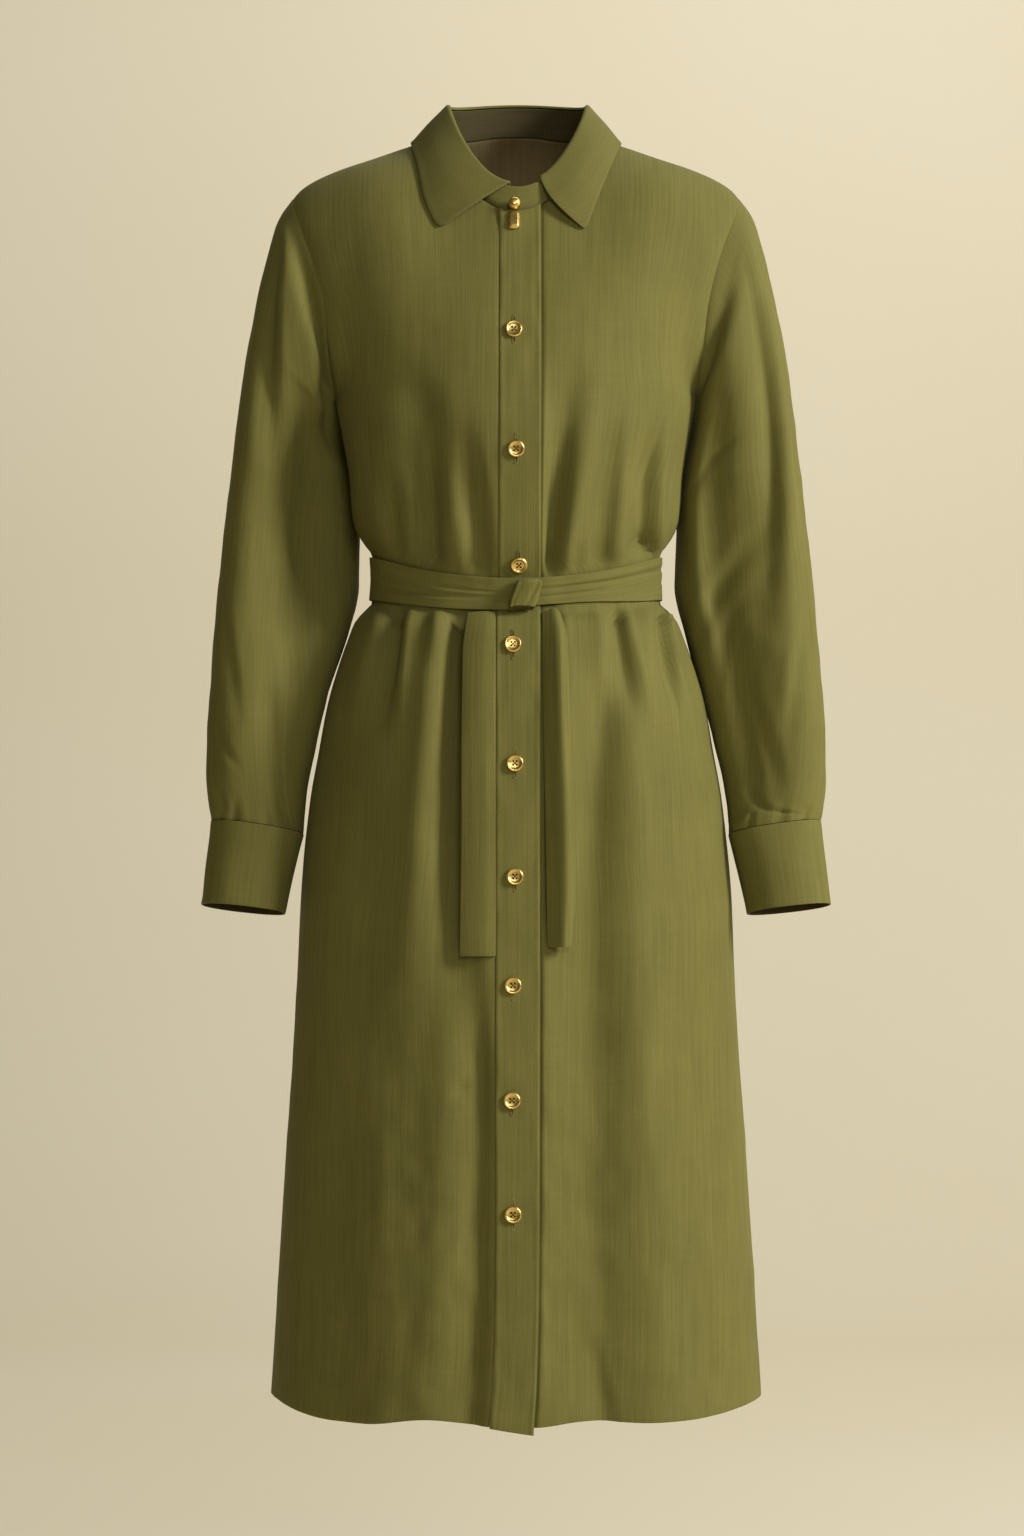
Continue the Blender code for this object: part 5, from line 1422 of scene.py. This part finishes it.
def belt_depth(quarter, down):
    """How far the belt's creases push it in."""
    depth = np.zeros(quarter.shape)
    for crease in BELT_CREASES:
        along = np.clip((quarter - crease.start) / (crease.end - crease.start), 0, 1)
        inside = np.sin(np.pi * along) ** 0.5
        centre = mix(crease.up_start, crease.up_end, along)
        depth += crease.depth * inside * trough(down - centre, crease.width, BELT_LEAN)
    return depth


belt_turn = np.arange(BELT_COLUMNS + 1) % BELT_COLUMNS / BELT_COLUMNS
belt_quarter = np.broadcast_to(-2 + 4 * belt_turn, (BELT_ROWS + 1, BELT_COLUMNS + 1))
belt_down = np.broadcast_to(np.linspace(0, 1, BELT_ROWS + 1)[:, None], belt_quarter.shape)
belt_smooth = belt_surface(belt_quarter, belt_down, BELT_WALL)
in_from_edges = np.clip(belt_down, BELT_EDGE_SHARE, 1 - BELT_EDGE_SHARE)
belt_pillow = BELT_PILLOW * (np.sin(np.pi * in_from_edges) ** BELT_PILLOW_POWER - 1)
belt_lift = belt_pillow - belt_depth(belt_quarter, belt_down) + unevenness(belt_smooth, BELT_WAVE, 51)
belt_lift = np.maximum(belt_lift, BELT_DEEPEST)
belt_points = belt_surface(belt_quarter, belt_down, BELT_WALL + BELT_RAISE + belt_lift)
belt = cloth("belt_cloth", belt_points, round_rows(belt_points), COTTON, DOUBLE_SHELL, turned=True)
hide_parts("belt")
print("belt round the waist, metres:", round(float(thread_map(belt_points)[0].max()), 3))

# %% Hanging ends
BeltEndPoint = namedtuple("BeltEndPoint", "height left right ridge")
BELT_END_RIGHT = rows_of(
    BeltEndPoint,
    (-424, -42, -18.5, 1.5), (-455, -46, -17.5, 2), (-540, -47, -17.5, 2), (-640, -47.5, -17.5, 2),
    (-719, -48.5, -17.5, 2),
)
BELT_END_LEFT = rows_of(
    BeltEndPoint,
    (-419, 22.5, 37, 4), (-445, 22.5, 44, 9), (-520, 23.5, 46.5, 11), (-600, 25, 50, 11),
    (-655, 26, 51, 10), (-711, 27, 47.5, 8),
)
StripColumn = namedtuple("StripColumn", "share rise")
FLAT_STRIP = rows_of(
    StripColumn,
    (0, 0), (0.35, 0.75), (0.66, 1), (1, 0.15),
)
FOLDED_STRIP = rows_of(
    StripColumn,
    (0, 0), (0.3, 0.5), (0.55, 0.92), (0.66, 1), (0.76, 0.9), (1, 0.15),
)
END_STEP = 4.0
END_COLUMNS = 18
END_WAVE = (0.8, 34.0)
END_WAVE_FROM = 30.0
END_DEEPEST = -0.3


def make_belt_end(node, table, strip, seed):
    """A hanging end of the belt: a strip that lies on the skirt, with a fold or a soft ridge."""
    rows = int((table[0].height - table[-1].height) / END_STEP)
    height = np.linspace(table[0].height, table[-1].height, rows + 1)
    middle = (table[0].left + table[0].right) / 2
    level = front_place(np.full_like(height, middle), height)[1]
    share = np.linspace(0, 1, END_COLUMNS + 1)
    columns = [curve(table, "height", name, height)[:, None] for name in ("left", "right", "ridge")]
    left, right, ridge = columns
    across = mix(left, right, share)
    rise = ridge * curve(strip, "share", "rise", share)
    base = on_front(across, level[:, None], WALL + LAYER_GAP + front_lift(across) + rise + BELT_WALL)
    wobble = unevenness(base, END_WAVE, seed) * smooth((table[0].height - base[..., 2]) / END_WAVE_FROM)
    points = base + point(0, -1, 0) * np.maximum(wobble, END_DEEPEST)[..., None]
    end = cloth(f"{node}_cloth", points, round_axis(points), COTTON, DOUBLE_SHELL)
    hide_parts(node)


make_belt_end("belt_end_right", BELT_END_RIGHT, FLAT_STRIP, 61)
make_belt_end("belt_end_left", BELT_END_LEFT, FOLDED_STRIP, 63)

# %% Knot
KnotEdge = namedtuple("KnotEdge", "height left right")
KNOT_TOP = KnotEdge(-387.5, 0.2, 22.8)
KNOT_FOOT = KnotEdge(-423.0, -7.3, 15.3)
KNOT_THICKNESS = 12.0
KNOT_CUTS = 14
KNOT_ROUNDNESS = 0.45
KNOT_FULLNESS = 1.12
DENT_FROM = 0.2
DENT_FADE = 0.6
KnotCrease = namedtuple("KnotCrease", "top foot width depth")
KNOT_CREASES = rows_of(
    KnotCrease,
    (-0.55, -0.75, 0.09, 0.5), (0.62, 0.3, 0.13, 0.9),
)

bm = bmesh.new()
bmesh.ops.create_cube(bm, size=2)
bmesh.ops.subdivide_edges(bm, edges=bm.edges, cuts=KNOT_CUTS, use_grid_fill=True)
cube = np.array([vert.co for vert in bm.verts])
one, other = np.roll(cube**2, 1, axis=1), np.roll(cube**2, 2, axis=1)
ball_like = cube * np.sqrt(1 - one / 2 - other / 2 + one * other / 3)
pillow = mix(cube, ball_like * KNOT_FULLNESS, KNOT_ROUNDNESS)
across, depth, up = pillow[:, 0], pillow[:, 1], pillow[:, 2]
down = (1 - up) / 2
knot_left = mix(KNOT_TOP.left, KNOT_FOOT.left, down)
knot_right = mix(KNOT_TOP.right, KNOT_FOOT.right, down)
knot_across = mix(knot_left, knot_right, (across + 1) / 2)
share, level = front_place(knot_across, mix(KNOT_TOP.height, KNOT_FOOT.height, down))
dent = np.zeros(len(across))
for crease in KNOT_CREASES:
    dent += crease.depth * bell((across - mix(crease.top, crease.foot, down)) / crease.width)
seat = belt_out(0.0) + BELT_WALL + LAYER_GAP
out = seat + KNOT_THICKNESS * (1 - depth) / 2 - dent * smooth((DENT_FROM - depth) / DENT_FADE)
knot_points = body(share, level, True) + outward(share, level, True) * out[:, None]
lay(bm, knot_points, knot_points[:, (0, 2)] * MM)
bmesh.ops.recalc_face_normals(bm, faces=bm.faces)
knot = link("belt_knot_cloth", mesh_from("belt_knot_cloth", bm), COTTON)
knot_softness = knot.modifiers.new("soften", "SUBSURF")
knot_softness.levels = knot_softness.render_levels = 1
worn(knot)
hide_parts("belt_knot")

# %% [markdown]
# ## Gold buttons
# The buttons are turned from brass and polished: a rounded rim round a shallow dish with four
# holes. The profile is spun into a disc and the holes are cut through it by four small rods, once,
# and the finished button is then placed nine times.

# %% Gold
def polished_brass(name):
    material, tree, shader = new_material(name, {"Metallic": 1.0})
    wear = patches(tree, 400.0)
    colour_between(tree, shader, "#dcb45e", "#f6d98c", wear)
    polish = {"From Min": 0.3, "From Max": 0.8, "To Min": 0.3, "To Max": 0.42}
    rough = add(tree, "ShaderNodeMapRange", polish, Value=wear).outputs[0]
    tree.links.new(rough, shader.inputs["Roughness"])
    return material


BRASS = polished_brass("polished_brass")
print("button material:", BRASS.name)

# %% Button master
BUTTON_STEPS = 40
HOLE_DIAMETER = 1.9
HOLE_SPACING = 3.1
HOLE_SIDES = 14
DRILL_MIDDLE = 1.5
DRILL_LENGTH = 6.0
SHARP_FROM = 35.0
ProfilePoint = namedtuple("ProfilePoint", "radius height")
BUTTON_PROFILE = rows_of(
    ProfilePoint,
    (0, 1.75), (3.6, 1.8), (4.7, 2), (5.2, 2.5), (5.8, 2.95), (6.5, 3), (7.1, 2.6), (7.5, 1.9),
    (7.4, 1), (6.9, 0.2), (6.3, 0), (0, 0),
)


def spun(profile, steps):
    """A solid turned round Z from a profile, in a bmesh."""
    bm = bmesh.new()
    verts = [bm.verts.new((row.radius * MM, 0, row.height * MM)) for row in profile]
    edges = [bm.edges.new(pair) for pair in zip(verts, verts[1:])]
    whole_turn = {"cent": (0, 0, 0), "axis": (0, 0, 1), "angle": math.tau, "use_merge": True}
    bmesh.ops.spin(bm, geom=verts + edges, steps=steps, **whole_turn)
    bmesh.ops.remove_doubles(bm, verts=bm.verts, dist=MERGE)
    bmesh.ops.recalc_face_normals(bm, faces=bm.faces)
    return bm


def cut(mesh, cutter_mesh):
    """The mesh less another, as a new mesh."""
    blank = bpy.data.objects.new("blank", mesh)
    cutter = bpy.data.objects.new("cutter", cutter_mesh)
    for thing in (blank, cutter):
        bpy.context.scene.collection.objects.link(thing)
    drill = blank.modifiers.new("drill", "BOOLEAN")
    drill.operation = "DIFFERENCE"
    drill.object = cutter
    drill.solver = "EXACT"
    done = bpy.data.meshes.new_from_object(blank.evaluated_get(bpy.context.evaluated_depsgraph_get()))
    bpy.data.objects.remove(blank)
    bpy.data.objects.remove(cutter)
    return done


drills = bmesh.new()
rod = {"cap_ends": True, "segments": HOLE_SIDES, "depth": DRILL_LENGTH * MM}
rod["radius1"] = rod["radius2"] = HOLE_DIAMETER / 2 * MM
for x, y in ((-1, -1), (-1, 1), (1, -1), (1, 1)):
    centre = (x * HOLE_SPACING / 2 * MM, y * HOLE_SPACING / 2 * MM, DRILL_MIDDLE * MM)
    bmesh.ops.create_cone(drills, matrix=Matrix.Translation(centre), **rod)
blank_mesh = mesh_from("button", spun(BUTTON_PROFILE, BUTTON_STEPS), SHARP_FROM)
button_mesh = cut(blank_mesh, mesh_from("drills", drills, SHARP_FROM))
button_mesh.set_sharp_from_angle(angle=math.radians(SHARP_FROM))
print("button faces:", len(button_mesh.polygons))


# %% Placing
def matrix_of(*columns):
    """A matrix from three axes and a place, in metres."""
    return Matrix(np.vstack((np.column_stack(columns), (0, 0, 0, 1))).tolist())


def frame_at(place, normal, up=(0.0, 0.0, 1.0)):
    """The matrix that puts a shape's Z axis along a normal and its Y axis upwards."""
    z_axis = unit(np.asarray(normal, float))
    x_axis = unit(np.cross(up, z_axis))
    y_axis = np.cross(z_axis, x_axis)
    return matrix_of(x_axis, y_axis, z_axis, np.asarray(place) * MM)


def placed(name, mesh, matrix, material):
    mesh = mesh.copy()
    mesh.transform(matrix)
    mesh.materials.clear()
    return worn(link(name, mesh, material))


def placket_frames(places):
    """Matrices on the placket's outer face, one for each button or bar."""
    across = np.array([place.across for place in places], float)
    share, level = front_place(across, np.array([place.height for place in places], float))
    out = outward(share, level, True)
    seats = body(share, level, True) + out * (PLACKET_OUT + WALL + SEAM_GAP)
    return [frame_at(seat, way) for seat, way in zip(seats, out)]


# %% Buttons
for i, seat in enumerate(placket_frames(BUTTONS)):
    button = placed(f"gold_button_{i + 1:02d}", button_mesh, seat, BRASS)
    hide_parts(f"button_{i + 1:02d}")

# %% Ball and bar
BALL_DIAMETER = 11.2
BALL_FLATNESS = 0.75
BALL_FOOT = 1.2
BALL_ACROSS = -1.8
BALL_UP_STAND = 0.23
BALL_FACETS = 12
BALL_RINGS = 9
FOOT_RADIUS = 2.2
FACET_SHARP_FROM = 14.0
BAR_SHARP_FROM = 25.0
BAR_WIDTH = 10.2
BAR_HEIGHT = 18.0
BAR_THICKNESS = 5.0
BAR_BEVEL = 1.9
BAR_CORNER = 3.4
BAR_EDGE = 0.35
BAR_PLACE = Button(-75.5, -1.8)

ball_radius = BALL_DIAMETER / 2
ball_profile = []
for angle in [math.radians(180 * i / BALL_RINGS) for i in range(BALL_RINGS)]:
    height = BALL_FOOT + ball_radius * BALL_FLATNESS * (1 + math.cos(angle))
    ball_profile.append(ProfilePoint(ball_radius * math.sin(angle), height))
ball_profile += rows_of(ProfilePoint, (FOOT_RADIUS, BALL_FOOT), (FOOT_RADIUS, 0.0), (0.0, 0.0))
ball_mesh = mesh_from("ball", spun(ball_profile, BALL_FACETS), FACET_SHARP_FROM)
zero = np.array(0.0)
ball_low, ball_high = stand_point(zero, zero), stand_point(zero, np.array(1.0))
ball_seat = mix(ball_low, ball_high, BALL_UP_STAND) + neck_outward(zero) * SEAM_GAP + (BALL_ACROSS, 0, 0)
ball = placed("gold_ball", ball_mesh, frame_at(ball_seat, neck_outward(zero)), BRASS)
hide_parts("stand_ball")

bm = bmesh.new()
bmesh.ops.create_cube(bm, size=1)
bmesh.ops.translate(bm, verts=bm.verts, vec=(0, 0, 0.5))
bmesh.ops.scale(bm, verts=bm.verts, vec=(BAR_WIDTH * MM, BAR_HEIGHT * MM, BAR_THICKNESS * MM))


def bevel(edges, offset, segments):
    settings = {"segments": segments, "profile": 0.5, "affect": "EDGES", "material": -1}
    bmesh.ops.bevel(bm, geom=edges, offset=offset * MM, **settings)


bevel([edge for edge in bm.edges if abs(edge.verts[0].co.z - edge.verts[1].co.z) > MM], BAR_CORNER, 4)
half_up = BAR_THICKNESS * MM / 2
bevel([edge for edge in bm.edges if all(vert.co.z > half_up for vert in edge.verts)], BAR_BEVEL, 1)
bevel(bm.edges, BAR_EDGE, 2)
bar_mesh = mesh_from("bar", bm, BAR_SHARP_FROM)
bar = placed("gold_bar", bar_mesh, placket_frames([BAR_PLACE])[0], BRASS)
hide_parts("placket_bar")

# %% [markdown]
# ## Sewing
# The placket's edges and the cuffs' are stitched with thread of the cloth's own colour. Each
# stitch is a small bead that follows the seam. Round every buttonhole runs satin stitch, close
# parallel bars, with a dark strip of painted shade between them where the slit opens, and two
# crossed threads hold each button.

# %% Sizes of the stitches
STITCH_PITCH = 3.0
STITCH_LENGTH = 2.3
STITCH_WIDTH = 0.5
STITCH_HEIGHT = 0.3
STITCH_IN = 4.0
NECK_STITCHES = (95.0, 265.0)
NECK_STITCH_UP = 2.0
NECK_STITCH_STEP = 2.5
NECK_STITCH_OUT = 0.1
BEAD_SHARP_FROM = 80.0
print("stitch pitch, mm:", STITCH_PITCH)


# %% Stitches
def thread(name, pale, deep):
    material, tree, shader = new_material(name, {"Roughness": 0.6, "Specular IOR Level": 0.3})
    colour_between(tree, shader, deep, pale, patches(tree, 1500.0))
    return material


THREAD = thread("olive_cotton_thread", "#8b8348", "#6f6836")
# Dark thread for the buttons' crossed threads, also used for the painted shade in the buttonholes' slits.
DARK_THREAD_AND_SLOT_SHADE = thread("dark_olive_thread_and_painted_slot_shade", "#3b3715", "#26230c")
bm = bmesh.new()
bmesh.ops.create_uvsphere(bm, u_segments=6, v_segments=4, radius=0.5)
BEAD = mesh_from("bead", bm, BEAD_SHARP_FROM)


def beads(name, matrices, material):
    """Small rounded stitches, one for each matrix, in one mesh."""
    bm = bmesh.new()
    for matrix in matrices:
        bead = BEAD.copy()
        bead.transform(matrix)
        bm.from_mesh(bead)
        bpy.data.meshes.remove(bead)
    return worn(link(name, mesh_from(name, bm, BEAD_SHARP_FROM), material))


def bead_at(place, ahead, normal, size):
    """The matrix of one stitch: size is its length, width and height in millimetres."""
    x_axis = unit(ahead)
    z_axis = unit(normal - x_axis * np.dot(normal, x_axis))
    y_axis = np.cross(z_axis, x_axis)
    return matrix_of(*(part * MM for part in (x_axis * size[0], y_axis * size[1], z_axis * size[2], place)))


def lengths_along(line):
    return np.concatenate(([0.0], np.cumsum(np.linalg.norm(np.diff(line, axis=0), axis=1))))


def places_along(values, lengths, at):
    """Points or directions of a line, read at lengths along it."""
    return np.stack([np.interp(at, lengths, values[:, k]) for k in range(3)], axis=-1)


def stitched(line, normals):
    """Matrices of the stitches along a line of points."""
    lengths = lengths_along(line)
    at = np.arange(STITCH_PITCH / 2, lengths[-1], STITCH_PITCH)
    start = places_along(line, lengths, at - STITCH_LENGTH / 2)
    end = places_along(line, lengths, at + STITCH_LENGTH / 2)
    out = unit(places_along(normals, lengths, at))
    size = (STITCH_LENGTH, STITCH_WIDTH, STITCH_HEIGHT)
    return [bead_at((a + b) / 2, b - a, n, size) for a, b, n in zip(start, end, out)]


def beside(lines, distance):
    """A line at a distance along each of the lines."""
    return np.array([places_along(line, lengths_along(line), distance) for line in lines])


placket_normals = facing(placket_points, round_axis(placket_points))
for side, column, lines in (("left", 0, placket_points), ("right", -1, placket_points[:, ::-1])):
    stitches = stitched(beside(lines, STITCH_IN), placket_normals[:, column])
    beads(f"placket_stitches_{side}", stitches, THREAD)
for name, points in cuff_points.items():
    normals = facing(points, round_rows(points))
    for end, rows in (("top", points), ("bottom", points[::-1])):
        stitches = stitched(beside(rows.transpose(1, 0, 2), STITCH_IN), normals[0])
        beads(f"cuff_{name}_stitches_{end}", stitches, THREAD)

# %% Buttonholes, painted shade in their slits, and button thread
BUTTONHOLE_LENGTH = 24.0
SATIN_PITCH = 0.8
SATIN_SIZE = (1.5, 0.65, 0.5)
SLOT_WIDTH = 0.9
# The dark strip in each slit is painted shade, a little wider than the slit.
SLOT_SHADE_SIZE = (BUTTONHOLE_LENGTH, SLOT_WIDTH * 1.3, 0.3)
BAR_TACK_SIZE = (4.0, 1.3, 0.7)
BAR_TACK_PAST = 0.9
SATIN_UP = 0.1
CROSS_SIZE = (HOLE_SPACING * 1.5, 0.75, 0.9)
CROSS_UP = 2.3


def bar_on(seat, x, y, z, ahead, size):
    """A stitch at a place on a button's seat, along a direction of the seat."""
    return seat @ bead_at(np.array((x, y, z)), np.array((*ahead, 0.0)), np.array((0, 0, 1.0)), size)


half_hole = BUTTONHOLE_LENGTH / 2
for i, seat in enumerate(placket_frames(BUTTONS)):
    seat = seat @ Matrix.Translation((0, 0, -SEAM_GAP * MM))
    bars = []
    for height in np.arange(-half_hole, half_hole + SATIN_PITCH / 2, SATIN_PITCH):
        for side in (-1, 1):
            x = side * (SLOT_WIDTH + SATIN_SIZE[0]) / 2
            bars.append(bar_on(seat, x, height, SATIN_UP, (1, 0), SATIN_SIZE))
    for height in (-half_hole - BAR_TACK_PAST, half_hole + BAR_TACK_PAST):
        bars.append(bar_on(seat, 0, height, SATIN_UP, (1, 0), BAR_TACK_SIZE))
    beads(f"buttonhole_{i + 1:02d}", bars, THREAD)
    # A flat dark strip along the slit: painted shade where the slit opens.
    slot_shade = [bar_on(seat, 0, 0, 0, (0, 1), SLOT_SHADE_SIZE)]
    cross = [bar_on(seat, 0, 0, CROSS_UP, (1, way), CROSS_SIZE) for way in (-1, 1)]
    beads(f"button_thread_and_slot_shade_{i + 1:02d}", slot_shade + cross, DARK_THREAD_AND_SLOT_SHADE)
neck_turns = np.arange(NECK_STITCHES[0], NECK_STITCHES[1] + 1, NECK_STITCH_STEP)
neck_inside = -neck_outward(neck_turns)
neck_line = stand_point(neck_turns, np.zeros_like(neck_turns)) + (0, 0, NECK_STITCH_UP)
neck_line = neck_line + neck_inside * (DOUBLE_SHELL + NECK_STITCH_OUT)
beads("neck_seam_stitches", stitched(neck_line, neck_inside), THREAD)
print("stitches and buttonholes are in")

# %% [markdown]
# ## Studio
# A plain cream studio: a floor that curves up into a wall. One large soft light stands at the
# viewer's right, nearly beside the dress, so that every fold has a bright and a dark flank. A weak
# light from the front opens the shadows, and a wash lights the wall. The camera stands level with
# the dress's middle, far enough away for its sides to look nearly parallel.

# %% Sizes of the stage, its lights and camera
FLOOR = -1.62
CEILING = 5.38
WALL_AT = 5.0
STAGE_HALF = 7.0
COVE = 1.5
COVE_STEPS = 12
MIDDLE = (0.0, 0.0, -0.5)
WALL_MIDDLE = (0.9, 5.0, -0.8)
SoftLight = namedtuple("SoftLight", "name place target size power")
SOFT_LIGHTS = (
    SoftLight("key", (3.35, -1.65, 1.25), MIDDLE, (0.9, 1.4), 170),
    SoftLight("front", (0.6, -3.7, 0.85), MIDDLE, (1.2, 0.8), 31),
    SoftLight("wall_wash", (0.9, 1.6, 2.8), WALL_MIDDLE, (4.0, 1.2), 119),
)
WORLD_COLOUR = "#e8dca4"
WORLD_STRENGTH = 0.125
CAMERA_PLACE = (-0.0036, -3.3, -0.556)
SENSOR_HEIGHT = 36.0
LENS = 85.94
SIGHT = 100.0
print("soft lights:", len(SOFT_LIGHTS))


# %% Backdrop
def painted_backdrop():
    matte = {"Roughness": 0.95, "Specular IOR Level": 0.1}
    material, tree, shader = new_material("cream_backdrop_paint", matte)
    colour_between(tree, shader, "#dcd2b6", "#e6deca", patches(tree, 0.6))
    return material


bm = bmesh.new()
profile = [(-STAGE_HALF, FLOOR), (WALL_AT - COVE, FLOOR)]
profile += [
    (WALL_AT - COVE * (1 - math.sin(angle)), FLOOR + COVE * (1 - math.cos(angle)))
    for angle in np.linspace(0.1, math.pi / 2, COVE_STEPS)
]
profile += [(WALL_AT, CEILING)]
verts = [bm.verts.new((-STAGE_HALF, y, z)) for y, z in profile]
edges = [bm.edges.new(pair) for pair in zip(verts, verts[1:])]
swept = bmesh.ops.extrude_edge_only(bm, edges=edges)["geom"]
bmesh.ops.translate(
    bm, verts=[part for part in swept if isinstance(part, bmesh.types.BMVert)], vec=(2 * STAGE_HALF, 0, 0)
)
bmesh.ops.recalc_face_normals(bm, faces=bm.faces)
backdrop = link("backdrop", mesh_from("backdrop", bm), painted_backdrop())
backdrop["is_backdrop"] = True
print("backdrop points:", len(backdrop.data.vertices))

# %% Lights
for light in SOFT_LIGHTS:
    lamp = bpy.data.lights.new(light.name, "AREA")
    lamp.shape = "RECTANGLE"
    lamp.size, lamp.size_y = light.size
    lamp.energy = light.power
    thing = bpy.data.objects.new(light.name, lamp)
    thing.location = light.place
    thing.rotation_euler = (Vector(light.target) - thing.location).to_track_quat("-Z", "Y").to_euler()
    bpy.context.scene.collection.objects.link(thing)
world = bpy.data.worlds.new("studio")
world.use_nodes = True
world.node_tree.nodes["Background"].inputs["Color"].default_value = linear(WORLD_COLOUR)
world.node_tree.nodes["Background"].inputs["Strength"].default_value = WORLD_STRENGTH
bpy.context.scene.world = world
bpy.context.scene.view_settings.view_transform = "Standard"
print("view transform:", bpy.context.scene.view_settings.view_transform)

# %% Camera
camera_data = bpy.data.cameras.new("camera")
camera_data.sensor_fit = "VERTICAL"
camera_data.sensor_height = SENSOR_HEIGHT
camera_data.lens = LENS
camera_data.clip_end = SIGHT
camera = bpy.data.objects.new("camera", camera_data)
camera.location = CAMERA_PLACE
camera.rotation_euler = (math.pi / 2, 0, 0)
bpy.context.scene.collection.objects.link(camera)
bpy.context.scene.camera = camera
print("camera lens, mm:", LENS)

# %% Compare the sizes and finish
visual_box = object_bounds()
differences = [abs(a - b) for one, two in zip(cad_box, visual_box) for a, b in zip(one, two)]
print("largest difference of the boxes, mm:", round(max(differences) / MM, 1))
